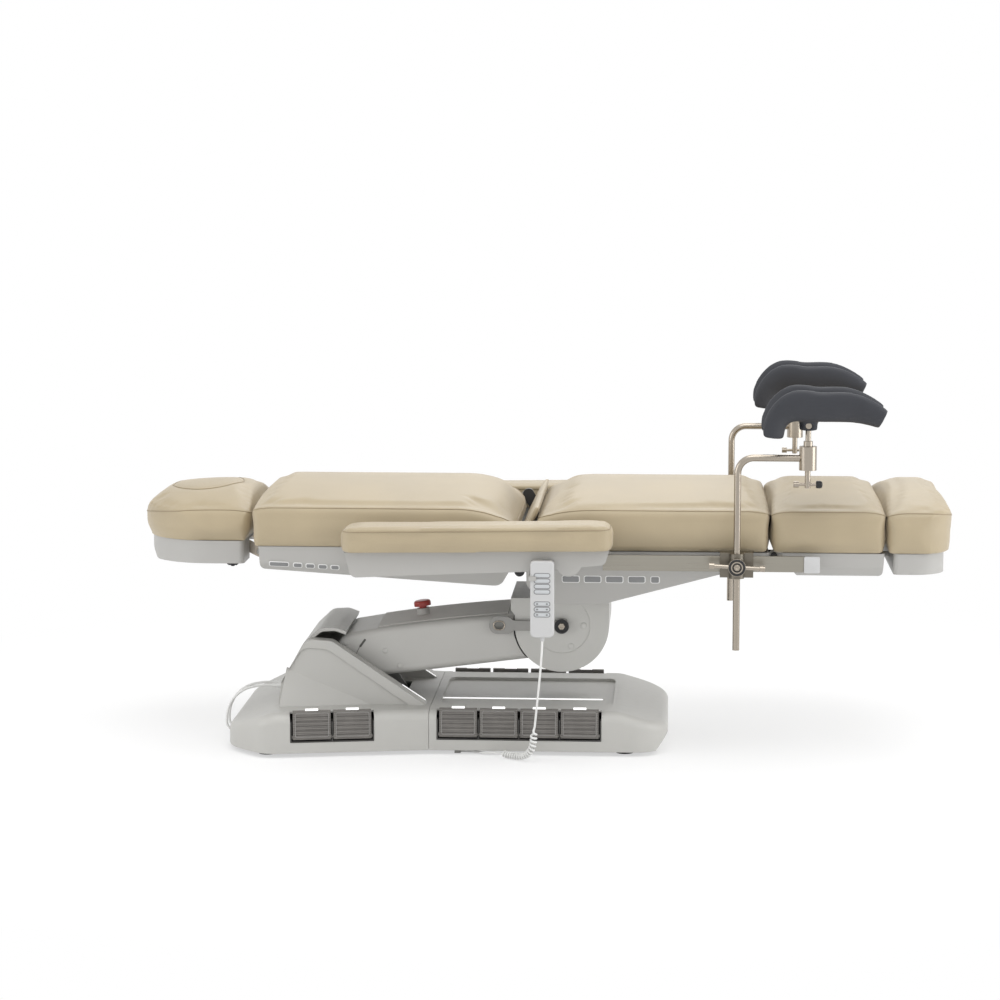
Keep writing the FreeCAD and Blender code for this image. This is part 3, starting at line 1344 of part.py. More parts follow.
def knuckle_housing():
    """Knuckle shell with bearings for the arm's shaft, link pins and the turntable's bush."""
    half = KNUCKLE_HALF_WIDTH
    inside = half - KNUCKLE_WALL
    outer = Part.Face(knuckle_outline(0, -half)).extrude(V(0, 2 * half, 0))
    inner = Part.Face(knuckle_outline(KNUCKLE_WALL, -inside)).extrude(V(0, 2 * inside, 0))
    window = wedge_y(
        KNUCKLE_X, KNUCKLE_Z, 172, 262, KNUCKLE_RADIUS - 30, KNUCKLE_RADIUS + 30, inside - KNUCKLE_WALL
    )
    shell = outer.cut(inner).cut(window)
    link_x, link_z = link_pin_at_knuckle()
    fit_in = BEAM_EYE_HALF + 2
    boss = rod_y(KNUCKLE_X, KNUCKLE_Z, BOSS_RADIUS, fit_in, inside + 1)
    pin = rod_y(link_x, link_z, LINK_PIN, fit_in, inside + 1)
    bush = rod_z(
        KNUCKLE_X, 0, SPIGOT_RADIUS + 8, SWIVEL_PLANE - SPIGOT_LENGTH - 2, SWIVEL_PLANE - KNUCKLE_WALL + 1
    )
    body = fused([shell, boss, mirrored(boss), pin, mirrored(pin), bush])
    shaft = rod_y(KNUCKLE_X, KNUCKLE_Z, SHAFT_RADIUS + RUNNING, -inside, inside)
    lever = rod_y(KNUCKLE_X, KNUCKLE_Z, LEVER_SHAFT + RUNNING, -half - 1, -inside + 1)
    spigot = rod_z(KNUCKLE_X, 0, SPIGOT_RADIUS + RUNNING, SWIVEL_PLANE - SPIGOT_LENGTH - 3, SWIVEL_PLANE + 1)
    return cut_all(body, [shaft, lever, spigot])


def swivel_lever():
    """Swivel lock lever: hub, neck and a paddle with an oval hole."""
    y1 = -KNUCKLE_HALF_WIDTH - SEAT_FIT
    y0 = y1 - LEVER_THICK
    tip = KNUCKLE_X - LEVER_LENGTH
    z = KNUCKLE_Z
    neck = prism_y(
        [
            (KNUCKLE_X, z - LEVER_NECK / 2, 0),
            (KNUCKLE_X, z + LEVER_NECK / 2, 0),
            (tip + PADDLE_LENGTH - 4, z + LEVER_NECK / 2, 12),
            (tip + PADDLE_LENGTH - 16, z + PADDLE_HEIGHT / 2, 10),
            (tip, z + PADDLE_HEIGHT / 2, 19),
            (tip, z - PADDLE_HEIGHT / 2, 19),
            (tip + PADDLE_LENGTH - 16, z - PADDLE_HEIGHT / 2, 10),
            (tip + PADDLE_LENGTH - 4, z - LEVER_NECK / 2, 12),
        ],
        y0, y1,
    )
    hub = rod_y(KNUCKLE_X, z, LEVER_HUB, y0 - 4, y1)
    shaft = rod_y(KNUCKLE_X, z, LEVER_SHAFT, y1 - 1, -KNUCKLE_HALF_WIDTH + KNUCKLE_WALL)
    half = LOOP_HEIGHT / 2
    middle = tip + PADDLE_HEIGHT / 2 + 3
    run = (LOOP_LENGTH - LOOP_HEIGHT) / 2
    loop = strap((middle - run, z), (middle + run, z), half, half, y0 - 1, y1 + 1)
    return fused([neck, hub, shaft]).cut(loop)


# Base

def rear_plan(inset):
    """Rear cover's plan: flared towards the rounded rear end."""
    w0 = BASE_HALF_WIDTH - inset
    w1 = w0 + BASE_FLARE
    w2 = w1 - REAR_NARROW
    x0 = BASE_SEAM_X
    x1 = BASE_SHOULDER_X
    x2 = BASE_REAR_X + inset
    near = [(x2, -w2, 130 - inset), (x1, -w1, 60 - inset), (x0, -w0, 0)]
    return near + [(x, -y, radius) for x, y, radius in reversed(near)]


def front_plan(inset):
    """Front cover's plan: parallel sides and a rounded nose."""
    w = BASE_HALF_WIDTH - inset
    x0 = BASE_SEAM_X + BASE_SEAM_GAP
    x1 = BASE_FRONT_X - inset
    return [(x0, -w, 0), (x1, -w, 84 - inset), (x1, w, 84 - inset), (x0, w, 0)]


def plinth_side(inset):
    """Side outline of the whole plinth: a sloping ledge behind and a sloping nose in front."""
    low = FOOT_HEIGHT - (inset > 0)
    top = PLINTH_TOP - inset
    rear = TOWER_REAR_X
    nose = BASE_FRONT_X - NOSE_SLOPE
    return [
        (rear - 2 * REAR_LEDGE, low, 0),
        (nose + 2 * NOSE_SLOPE, low, 0),
        (nose + 2 * NOSE_SLOPE, top - 2 * NOSE_DROP, 0),
        (nose, top, 90),
        (rear, top, 90),
        (rear - 2 * REAR_LEDGE, top - 2 * LEDGE_DROP, 0),
    ]


def nose_undercut(inset):
    """Space under the nose, where the front leans back towards the floor."""
    x = BASE_FRONT_X - inset
    z = PLINTH_TOP - NOSE_DROP - PLINTH_ROUND
    reach = BASE_HALF_WIDTH + 1
    line = [(x - NOSE_TUCK, 0, 0), (x + NOSE_TUCK, 0, 0), (x + NOSE_TUCK, z, 0), (x, z, 0)]
    return prism_y(line, -reach, reach)


def plinth_body(plan, inset):
    """Plinth's outer form, or its hollow, with a rounded top edge."""
    reach = BASE_HALF_WIDTH + BASE_FLARE + 1
    low = FOOT_HEIGHT - (inset > 0)
    body = prism_z(plan(inset), low, PLINTH_TOP).common(prism_y(plinth_side(inset), -reach, reach))
    return body.makeFillet(PLINTH_ROUND - inset, [e for e in body.Edges if on_rim(body, e)])


def on_rim(body, edge):
    """Whether an edge lies between the plinth's upright wall and its top, and not at the seam."""
    if all(abs(v.Point.x - BASE_SEAM_X) < 2 * BASE_SEAM_GAP for v in edge.Vertexes):
        return False
    middle = edge.valueAt((edge.FirstParameter + edge.LastParameter) / 2)
    rises = []
    for face in body.ancestorsOfType(edge, Part.Face):
        rises.append(face.normalAt(*face.Surface.parameter(middle)).z)
    return min(abs(r) for r in rises) < 0.05 and max(rises) > 0.5


def plinth(plan):
    """Hollow plinth, open below and at the seam."""
    return plinth_body(plan, 0).cut(plinth_body(plan, BASE_WALL))


def bank_places():
    """Each pedal bank's placement: (name, middle x, outer face y, turn about Z, pedals)."""
    front_ahead = FRONT_BANK_START + PEDAL_TRAY_WALL + FRONT_PEDALS * PEDAL_PITCH / 2
    rear_behind = REAR_BANK_START + PEDAL_TRAY_WALL + REAR_PEDALS * PEDAL_PITCH / 2
    rear_y = BASE_HALF_WIDTH + rear_behind * math.tan(math.radians(FLARE_ANGLE))
    return [
        ("front", BASE_SEAM_X + front_ahead, -BASE_HALF_WIDTH, 0.0, FRONT_PEDALS),
        ("rear", BASE_SEAM_X - rear_behind, -rear_y, FLARE_ANGLE, REAR_PEDALS),
    ]


def place_bank(shape, x, y, turn):
    """Move a piece drawn about a bank's middle to its place on the near side."""
    placed = shape.copy()
    placed.rotate(V(0, 0, 0), V(0, 0, 1), turn)
    placed.translate(V(x, y, 0))
    return placed


def pedal_pin_z():
    """Height of a pedal's hinge pin."""
    return PEDAL_BOTTOM + PEDAL_PIN + 2


def pedal_pin_y():
    """Depth of a pedal's hinge pin behind its bank's face."""
    return PEDAL_THICK / 2 - PEDAL_PROUD + 1


def pedal(offset):
    """One pedal in its bank's own frame: leaning ribbed plate on a hinge pin."""
    x0 = offset - PEDAL_WIDTH / 2
    x1 = offset + PEDAL_WIDTH / 2
    front = -PEDAL_PROUD
    plate = prism_x(
        [
            (front, PEDAL_BOTTOM, 3),
            (front + PEDAL_LEAN, PEDAL_TOP, 3),
            (front + PEDAL_LEAN + PEDAL_THICK, PEDAL_TOP, 3),
            (front + PEDAL_THICK, PEDAL_BOTTOM, 3),
        ],
        x0, x1,
    )
    grooves = []
    step = (PEDAL_HEIGHT - 2 * GROOVE_MARGIN - 2 * GROOVE_WIDTH) / (PEDAL_GROOVES - 1)
    for i in range(PEDAL_GROOVES):
        rise = GROOVE_MARGIN + i * step
        z = PEDAL_BOTTOM + rise
        y = front + PEDAL_LEAN * rise / PEDAL_HEIGHT
        ends = (x0 + PEDAL_BORDER, x1 - PEDAL_BORDER)
        grooves.append(block(*ends, y - 2 * GROOVE_DEPTH, y + GROOVE_DEPTH, z, z + GROOVE_WIDTH))
    reach = PEDAL_PITCH / 2 - 0.5
    pin = rod_x(pedal_pin_y(), pedal_pin_z(), PEDAL_PIN, offset - reach, offset + reach)
    return cut_all(plate, grooves).fuse(pin).removeSplitter()


def tray_outer(count, play):
    """Space that a pedal tray takes in the base cover, open to the front and above where it has play."""
    half = count * PEDAL_PITCH / 2 + PEDAL_TRAY_WALL + play
    deep = PEDAL_LEAN + PEDAL_THICK + PEDAL_TRAVEL + PEDAL_TRAY_WALL - PEDAL_PROUD + play
    front = -PEDAL_THICK - PEDAL_TRAVEL if play else 0
    top = PLINTH_TOP + PLINTH_ROUND if play else PLINTH_TOP - PLINTH_ROUND + PEDAL_TRAY_LIP
    return block(-half, half, front, deep, PEDAL_BOTTOM - PEDAL_TRAY_DROP - play, top)


def pedal_tray(count):
    """Dark tray behind a bank, with dividers that hold the pedals' pins."""
    half = count * PEDAL_PITCH / 2
    wall = PEDAL_TRAY_WALL
    outer = tray_outer(count, 0)
    box = outer.BoundBox
    floor = box.ZMin + wall
    pieces = [outer.cut(block(-half, half, -1, box.YMax - wall, floor, box.ZMax + 1))]
    for i in range(1, count):
        x = -half + i * PEDAL_PITCH
        pieces.append(block(x - wall / 2, x + wall / 2, 0, box.YMax - wall / 2, floor - wall / 2, box.ZMax))
    bore = rod_x(pedal_pin_y(), pedal_pin_z(), PEDAL_PIN + RUNNING, -half - 0.6, half + 0.6)
    return fused(pieces).cut(bore)


def cheek_line(inset):
    """Side outline of a tower cheek, or of its hollow."""
    floor = PLINTH_TOP - BASE_WALL
    rear = TOWER_REAR_X + inset
    front = BASE_SEAM_X - 4 - 2.5 * inset
    return [
        (rear, floor, 0),
        (rear + 6, floor + 58, 40),
        (rear + 66, TOWER_RIM_Z + 4 - inset, 30),
        (rear + 126 - inset / 2, TOWER_RIM_Z - inset, 26),
        (front, floor, 0),
    ]


def cheek_draft(proud):
    """Cross-section of a tower cheek, whose outer face leans in."""
    floor = PLINTH_TOP - BASE_WALL
    outer = CHEEK_INNER + CHEEK_THICK + proud
    section = [
        (CHEEK_INNER, floor, 0),
        (outer, floor, 0),
        (outer - CHEEK_DRAFT, HOOD_TOP, 0),
        (CHEEK_INNER, HOOD_TOP, 0),
    ]
    return prism_x(section, TOWER_REAR_X - 1, BASE_SEAM_X)


def cheek_facet():
    """Three-sided facet that spreads from a cheek's crease down to the plinth."""
    floor = PLINTH_TOP - BASE_WALL
    outer = CHEEK_INNER + CHEEK_THICK
    crest_y = outer - CHEEK_DRAFT * FACET_HEIGHT / (HOOD_TOP - floor)
    rear = TOWER_REAR_X + 6
    places = [
        (rear + 12, crest_y, floor + FACET_HEIGHT),
        (rear + FACET_LENGTH, outer, floor),
        (rear, outer + FACET_SPREAD, floor),
    ]
    face = [V(*p) for p in places]
    back = [V(x, CHEEK_INNER + CHEEK_THICK / 2, z) for x, _, z in places]
    loops = [face, back[::-1]]
    for a, b in ((0, 1), (1, 2), (2, 0)):
        loops.append([face[a], back[a], back[b], face[b]])
    return Part.Solid(Part.Shell([Part.Face(Part.makePolygon(loop + loop[:1])) for loop in loops]))


def tower_cheek():
    """Far tower cheek: a leaning wall with a raised band along its rim and a facet at its foot."""
    reach = CHEEK_INNER + CHEEK_THICK + RIM_PROUD
    cheek = prism_y(cheek_line(0), CHEEK_INNER, reach).common(cheek_draft(0))
    below = prism_y(cheek_line(0), CHEEK_INNER - 1, reach + 1)
    below.translate(V(-RIM_BAND / 2, 0, -RIM_BAND))
    band = prism_y(cheek_line(0), CHEEK_INNER, reach).common(cheek_draft(RIM_PROUD)).cut(below)
    band = max(band.Solids, key=lambda solid: solid.Volume)
    return fused([cheek, band, cheek_facet()])


def hood():
    """Curved hood over the arm's root."""
    floor = PLINTH_TOP - BASE_WALL
    rear = TOWER_REAR_X
    outer_line = [
        (rear, floor, 0),
        (rear + 4, floor + 52, 40),
        (rear + 54, HOOD_TOP - 38, 50),
        (rear + 92, HOOD_TOP - 2, 30),
        (rear + 132, HOOD_TOP, 30),
        (rear + 157, HOOD_TOP - 9, 0),
    ]
    inner_line = [
        (rear + 155, HOOD_TOP - 9 - HOOD_WALL, 0),
        (rear + 131, HOOD_TOP - HOOD_WALL, 24),
        (rear + 97, HOOD_TOP - 2 - HOOD_WALL, 22),
        (rear + 61, HOOD_TOP - 38 - HOOD_WALL / 2, 42),
        (rear + 4 + HOOD_WALL, floor + 51, 32),
        (rear + HOOD_WALL, floor, 0),
    ]
    return prism_y(outer_line + inner_line, -CHEEK_INNER - 1, CHEEK_INNER + 1)


def rear_base_cover():
    """Rear cover: plinth, two cheeks with a sloping rim, and the hood over the arm's root."""
    floor = PLINTH_TOP - BASE_WALL
    cheek = tower_cheek()
    body = fused([plinth(rear_plan), cheek, mirrored(cheek), hood()])
    half = frame_cheek()[1] + CHEEK_PLATE_GAP
    well = block(LIFT_X - WELL_BEHIND, LIFT_X + WELL_AHEAD, -half, half, floor - 1, PLINTH_TOP + 1)
    outer = CHEEK_INNER + CHEEK_THICK - CHEEK_DRAFT - BASE_WALL
    hollow = prism_y(cheek_line(14), CHEEK_INNER + BASE_WALL, outer)
    hollow.translate(V(0, 0, -1))
    tools = [well, hollow, mirrored(hollow)]
    for y in PLUG_YS:
        tools.append(rod_x(y, PLUG_Z, PLUG_RADIUS - 2 + SEAT_FIT, TOWER_REAR_X - 2, TOWER_REAR_X + 20))
    tools += bank_pockets("rear")
    return cut_all(body, tools)


def bank_pockets(which):
    """Pockets in a base cover for the pedal trays on both sides."""
    pockets = []
    for name, x, y, turn, count in bank_places():
        if name == which:
            near = place_bank(tray_outer(count, SEAT_FIT), x, y, turn)
            pockets += [near, mirrored(near)]
    return pockets


def front_base_cover():
    """Front cover: plinth with a shallow tray in its top and a nose that leans back below."""
    rear = BASE_SEAM_X + TRAY_BEHIND_SEAM
    edge = BASE_WALL + 1
    half = TRAY_HALF
    lining = block(
        rear - edge, TRAY_FRONT_X + edge, -half - edge, half + edge,
        PLINTH_TOP - BASE_WALL - TRAY_DEPTH, PLINTH_TOP - 1,
    )
    dish = prism_z(
        [(rear, -half, 20), (TRAY_FRONT_X, -half, 20), (TRAY_FRONT_X, half, 20), (rear, half, 20)],
        PLINTH_TOP - TRAY_DEPTH, PLINTH_TOP + 1,
    )
    body = plinth_body(front_plan, 0).cut(nose_undercut(0))
    body = body.cut(plinth_body(front_plan, BASE_WALL).cut(nose_undercut(BASE_WALL)))
    return cut_all(fused([body, lining]), [dish] + bank_pockets("front"))


def bearing_cheek():
    """Far bearing cheek of the lift arm with the link's pin."""
    low = FOOT_HEIGHT + 2 + FRAME_PLATE - 1
    inner, outer = frame_cheek()
    half = CHEEK_HEAD
    upright = prism_y(
        [
            (LIFT_X - 110, low, 0),
            (LIFT_X - half, LIFT_Z - 20, 40),
            (LIFT_X + half, LIFT_Z - 20, 40),
            (LIFT_X + 150, low, 0),
        ],
        inner, outer,
    )
    head = rod_y(LIFT_X, LIFT_Z, half, inner, outer)
    link_x = LIFT_X + link_pin_at_knuckle()[0] - KNUCKLE_X
    link_z = LIFT_Z + link_pin_at_knuckle()[1] - KNUCKLE_Z
    ear = rod_y(link_x, link_z, LINK_PIN + 6, inner, outer)
    pin = rod_y(link_x, link_z, LINK_PIN, BEAM_EYE_HALF + 2, inner + 1)
    rib = block(LIFT_X - 70, LIFT_X + 100, outer - 1, outer + 20, low, low + 7)
    return fused([upright, head, ear, pin, rib])


def gland(x, y):
    """Block under the frame plate that takes a cord's end."""
    half = GLAND_SIZE / 2
    return block(x - half, x + half, y - half, y + half, 0.5, FOOT_HEIGHT + 3)


def base_frame():
    """Steel floor plate, bearing cheeks for the lift arm, link pins and cord glands."""
    z0 = FOOT_HEIGHT + 2
    z1 = z0 + FRAME_PLATE
    play = BASE_WALL + SEAT_FIT
    front = prism_z(front_plan(play), z0, z1).cut(nose_undercut(play))
    bridge = block(BASE_SEAM_X - 20, BASE_SEAM_X + 20, play - BASE_HALF_WIDTH, BASE_HALF_WIDTH - play, z0, z1)
    cheek = bearing_cheek()
    parts = [prism_z(rear_plan(play), z0, z1), front, bridge, cheek, mirrored(cheek)]
    for x, y in lead_ends():
        parts.append(gland(x + GLAND_SIZE / 2, y))
    parts.append(gland(CORD_POINTS[-1][0] - GLAND_SIZE / 2, CORD_POINTS[-1][1]))
    reach = frame_cheek()[1] + 1
    bore = rod_y(LIFT_X, LIFT_Z, SHAFT_RADIUS + RUNNING, -reach, reach)
    return fused(parts).cut(bore)


def foot_places():
    """Middle of each far levelling foot: (x, y)."""
    front_x = BASE_FRONT_X - FRONT_FOOT_IN[0]
    rear_x = BASE_REAR_X + REAR_FOOT_IN[0]
    return [
        (front_x, BASE_HALF_WIDTH - FRONT_FOOT_IN[1]),
        (rear_x, BASE_HALF_WIDTH + BASE_FLARE - REAR_FOOT_IN[1]),
    ]


def levelling_feet():
    """Four black feet under the frame plate."""
    feet = []
    for x, y in foot_places():
        pad = rod_z(x, y, FOOT_RADIUS, 0, FOOT_HEIGHT - 2)
        stem = rod_z(x, y, 8, FOOT_HEIGHT - 3, FOOT_HEIGHT + 2)
        foot = pad.fuse(stem).removeSplitter()
        feet += [foot, mirrored(foot)]
    return group(feet)


# Stirrups, drawn on the far side

def stirrup_clamp():
    """Clamp that grips the rail, with a boss for the post."""
    inner = RAIL_INNER - SLIDE_FIT - CLAMP_JAW
    outer = RAIL_INNER + RAIL_THICK + SLIDE_FIT
    z0 = RAIL_Z - SLIDE_FIT - CLAMP_WEB
    z1 = RAIL_Z + RAIL_HEIGHT + SLIDE_FIT + CLAMP_WEB
    jaw = block(POST_X - CLAMP_HALF, POST_X + CLAMP_HALF, inner, POST_Y - POST_RADIUS, z0, z1)
    boss = rod_z(POST_X, POST_Y, CLAMP_BOSS, z0, z1)
    slot = block(
        POST_X - CLAMP_HALF - 1, POST_X + CLAMP_HALF + 1, RAIL_INNER - SLIDE_FIT, outer,
        RAIL_Z - SLIDE_FIT, RAIL_Z + RAIL_HEIGHT + SLIDE_FIT,
    )
    mouth = block(
        POST_X - CLAMP_HALF - 1, POST_X + CLAMP_HALF + 1, inner - 1, RAIL_INNER,
        RAIL_Z + 8, RAIL_Z + RAIL_HEIGHT - 8,
    )
    bore = rod_z(POST_X, POST_Y, POST_RADIUS + RUNNING, z0 - 1, z1 + 1)
    stud = rod_y(POST_X, standoff_z(), SCREW_STUD + RUNNING, POST_Y, POST_Y + CLAMP_BOSS + 1)
    return cut_all(fused([jaw, boss]), [slot, mouth, bore, stud])


def clamp_screw():
    """Clamp screw: stud, round head and a T bar with end caps."""
    z = standoff_z()
    y0 = POST_Y + CLAMP_BOSS + SEAT_FIT
    stud = rod_y(POST_X, z, SCREW_STUD, POST_Y + POST_RADIUS + 0.6, y0 + 1)
    disc = rod_y(POST_X, z, SCREW_DISC, y0, y0 + SCREW_DISC_THICK)
    middle = y0 + SCREW_DISC_THICK / 2
    bar = rod_x(middle, z, T_BAR_RADIUS, POST_X - T_BAR / 2, POST_X + T_BAR / 2)
    ends = (POST_X - T_BAR / 2, POST_X + T_BAR / 2)
    caps = [rod_x(middle, z, T_BAR_CAP, x - 6, x + 6) for x in ends]
    screw = fused([stud, disc, bar] + caps)
    screw.rotate(V(POST_X, 0, z), V(0, 1, 0), T_BAR_TILT)
    return screw


def stirrup_post():
    """Bent post with the socket that holds the crutch's rod."""
    bend_x = POST_X + POST_BEND
    bend_z = POST_ARM_Z - POST_BEND
    upright = rod_z(POST_X, POST_Y, POST_RADIUS, POST_BOTTOM, bend_z)
    circle = Part.Face(Part.Wire(Part.makeCircle(POST_RADIUS, V(POST_X, POST_Y, bend_z), V(0, 0, 1))))
    bend = circle.revolve(V(bend_x, POST_Y, bend_z), V(0, 1, 0), 90)
    arm = rod_x(POST_Y, POST_ARM_Z, POST_RADIUS, bend_x, SOCKET_X - SOCKET_RADIUS / 2)
    half = SOCKET_HEIGHT / 2
    socket = rod_z(SOCKET_X, POST_Y, SOCKET_RADIUS, POST_ARM_Z - half, POST_ARM_Z + half)
    bore = rod_z(SOCKET_X, POST_Y, CRUTCH_ROD + RUNNING, POST_ARM_Z - half - 1, POST_ARM_Z + half + 1)
    return fused([upright, bend, arm, socket]).cut(bore)


def crutch_rod():
    """Rod through the socket, with a tommy bar below and the tilt pin above."""
    rod = rod_z(SOCKET_X, POST_Y, CRUTCH_ROD, CRUTCH_ROD_BOTTOM, CRUTCH_AXIS_Z)
    top = POST_ARM_Z + SOCKET_HEIGHT / 2
    collar = rod_z(SOCKET_X, POST_Y, CRUTCH_ROD + 4, top + SEAT_FIT, top + 12)
    pin = rod_y(SOCKET_X, CRUTCH_AXIS_Z, CRUTCH_PIN, POST_Y - CRUTCH_HUB + 3, POST_Y + CRUTCH_HUB - 3)
    z = CRUTCH_ROD_BOTTOM + 8
    bar = rod_x(POST_Y, z, 3.5, SOCKET_X - TOMMY_HALF, SOCKET_X + TOMMY_HALF)
    ends = (SOCKET_X - TOMMY_HALF, SOCKET_X + TOMMY_HALF)
    caps = [rod_x(POST_Y, z, T_BAR_CAP, x - 6, x + 6) for x in ends]
    return fused([rod, collar, pin, bar] + caps)


def crutch_section(place, depth, half):
    """U-shaped section of the crutch: place maps (across, height) to a point."""
    lip = CRUTCH_WALL
    mid = half - lip
    sag = depth - lip

    def line(a, b):
        return Part.LineSegment(place(*a), place(*b)).toShape()

    def arc(a, b, c):
        return Part.Arc(place(*a), place(*b), place(*c)).toShape()

    slant = half * 0.62
    edges = [
        line((-slant, 0), (slant, 0)),
        arc((slant, 0), (half * 0.93, depth * 0.36), (half, depth - lip / 2)),
        arc((half, depth - lip / 2), (half - lip / 2, depth), (mid, depth - lip / 2)),
        arc((mid, depth - lip / 2), (0, depth - sag), (-mid, depth - lip / 2)),
        arc((-mid, depth - lip / 2), (lip / 2 - half, depth), (-half, depth - lip / 2)),
        arc((-half, depth - lip / 2), (-half * 0.93, depth * 0.36), (-slant, 0)),
    ]
    return Part.Wire(edges)


def crutch_frames():
    """Stations along the crutch: (x, z, turn in degrees, depth, half width)."""
    x0 = SOCKET_X - CRUTCH_REAR
    x1 = SOCKET_X + CRUTCH_FRONT
    z = CRUTCH_FLOOR
    d = CRUTCH_DEPTH
    w = CRUTCH_HALF
    return [
        (x0 - 8, z - 40, 82, 0.62 * d, 0.90 * w),
        (x0 - 3, z - 15, 52, 0.78 * d, 0.97 * w),
        (x0 + 16, z, 10, d, w),
        (SOCKET_X + 20, z, 0, d, w),
        (x1, z, -2, d, w),
        (x1 + 46, z - 4, -14, 0.86 * d, 0.98 * w),
        (x1 + 84, z - 14, -24, 0.66 * d, 0.90 * w),
    ]


def crutch_pad():
    """Leg crutch: a saddle-shaped trough lofted through U sections, on a hub with a tilt pin bore."""
    wires = []
    for x, z, turn, depth, half in crutch_frames():
        a = math.radians(turn)
        up = V(-math.sin(a), 0, math.cos(a))

        def place(across, height, x=x, z=z, up=up):
            return V(x, POST_Y + across, z) + up * height

        wires.append(crutch_section(place, depth, half))
    trough = Part.makeLoft(wires, True, False)
    low = CRUTCH_AXIS_Z - CRUTCH_HUB_DROP
    hub = rod_z(SOCKET_X, POST_Y, CRUTCH_HUB, low, CRUTCH_FLOOR + 2)
    body = fused([trough, hub])
    reach = CRUTCH_HUB + 1
    bore = rod_y(SOCKET_X, CRUTCH_AXIS_Z, CRUTCH_PIN + RUNNING, POST_Y - reach, POST_Y + reach)
    neck = CRUTCH_ROD + 1
    slot = block(
        SOCKET_X - neck - 5, SOCKET_X + neck + 5, POST_Y - neck, POST_Y + neck, low - 1, CRUTCH_AXIS_Z
    )
    return cut_all(body, [bore, slot])


# Handset and cords

def handset():
    """Handset: rounded case with a strain relief below."""
    y0 = -HANDSET_INNER - HANDSET_THICK
    y1 = -HANDSET_INNER
    x0 = HANDSET_X - HANDSET_WIDTH / 2
    x1 = HANDSET_X + HANDSET_WIDTH / 2
    top = HANDSET_BOTTOM + HANDSET_HEIGHT
    case = prism_y(
        [(x0, HANDSET_BOTTOM, 12), (x1, HANDSET_BOTTOM, 12), (x1, top, 9), (x0, top, 9)], y0, y1
    )
    face = [e for e in case.Edges if all(abs(v.Point.y - y0) < 0.01 for v in e.Vertexes)]
    case = case.makeFillet(4, face)
    low = HANDSET_BOTTOM - RELIEF_LENGTH
    relief = rod_z(HANDSET_X, (y0 + y1) / 2, RELIEF_RADIUS, low, HANDSET_BOTTOM + 1)
    return case.fuse(relief).removeSplitter()


def lead_ends():
    """Where each rear lead meets its gland under the base: (x, y)."""
    return [(LEAD_POINTS[-1][0], y) for y in PLUG_YS]


CORD_TOP = HANDSET_BOTTOM - RELIEF_LENGTH - SEAT_FIT
CORD_Y = -HANDSET_INNER - HANDSET_THICK / 2
CORD_POINTS = [
    (HANDSET_X, CORD_Y, CORD_TOP),
    (HANDSET_X - 1.0, CORD_Y + 4.0, CORD_TOP - 40.0),
    (-4.0, -345.0, 92.0),
    (-12.0, -330.0, 10.0),
    (-90.3, -279.8, 10.0),
    (-103.8, -271.1, 10.0),
    (-124.0, -258.1, 4.6),
    (-152.0, GLAND_Y, 4.6),
    (-184.0, GLAND_Y, 4.6),
]
LEAD_POINTS = [
    (TOWER_REAR_X - PLUG_LENGTH, PLUG_Z),
    (-700.0, PLUG_Z),
    (-744.0, 98.0),
    (-766.0, 56.0),
    (-764.0, 4.0),
    (-712.0, 4.0),
]


def arc_radius(before, corner, after):
    """Arc radius at a route corner: as large as the two runs allow."""
    a = before - corner
    b = after - corner
    turn = math.pi - a.getAngle(b)
    return 0.45 * min(a.Length, b.Length) / math.tan(turn / 2)


def route(points, radii):
    """Straight runs joined by tangent arcs: a list of (kind, edge)."""
    edges = []
    last = points[0]
    for i in range(1, len(points) - 1):
        a = points[i - 1] - points[i]
        b = points[i + 1] - points[i]
        half = a.getAngle(b) / 2
        a.normalize()
        b.normalize()
        reach = radii[i] / math.tan(half)
        inward = a + b
        inward.normalize()
        entry = points[i] + a * reach
        leave = points[i] + b * reach
        middle = points[i] + inward * (radii[i] / math.sin(half) - radii[i])
        edges.append(Part.LineSegment(last, entry).toShape())
        edges.append(Part.Arc(entry, middle, leave).toShape())
        last = leave
    edges.append(Part.LineSegment(last, points[-1]).toShape())
    return edges


def biarc(p, tp, q, tq):
    """Two arcs from p to q that leave along tp and arrive along tq."""
    v = q - p
    t = tp + tq
    k = v.dot(t)
    c = 2 * (1 - tp.dot(tq))
    d = (-k + math.sqrt(k * k + c * v.dot(v))) / c if c > 1e-9 else v.dot(v) / (2 * k)
    j = (p + tp * d + q - tq * d) * 0.5
    first = Part.Arc(p, arc_middle(p, tp, j), j)
    second = Part.Arc(j, arc_middle(q, tq * -1, j), q)
    return [first.toShape(), second.toShape()]


def arc_middle(start, tangent, end):
    """Middle point of the arc from start along tangent to end."""
    chord = end - start
    along = V(chord)
    along.normalize()
    side = tangent - along * tangent.dot(along)
    a = math.atan2(side.Length, tangent.dot(along))
    side.normalize()
    return start + chord * 0.5 + side * (chord.Length / 2 * math.tan(a / 2))


def tube(edges, radius):
    """Round tube along a path, with its ends square to it."""
    path = Part.Wire(edges)
    start = edges[0].valueAt(edges[0].FirstParameter)
    tangent = edges[0].tangentAt(edges[0].FirstParameter)
    profile = Part.Wire(Part.makeCircle(radius, start, tangent))
    shape = path.makePipeShell([profile], True, False)
    return shape if shape.ShapeType == "Solid" else shape.Solids[0]


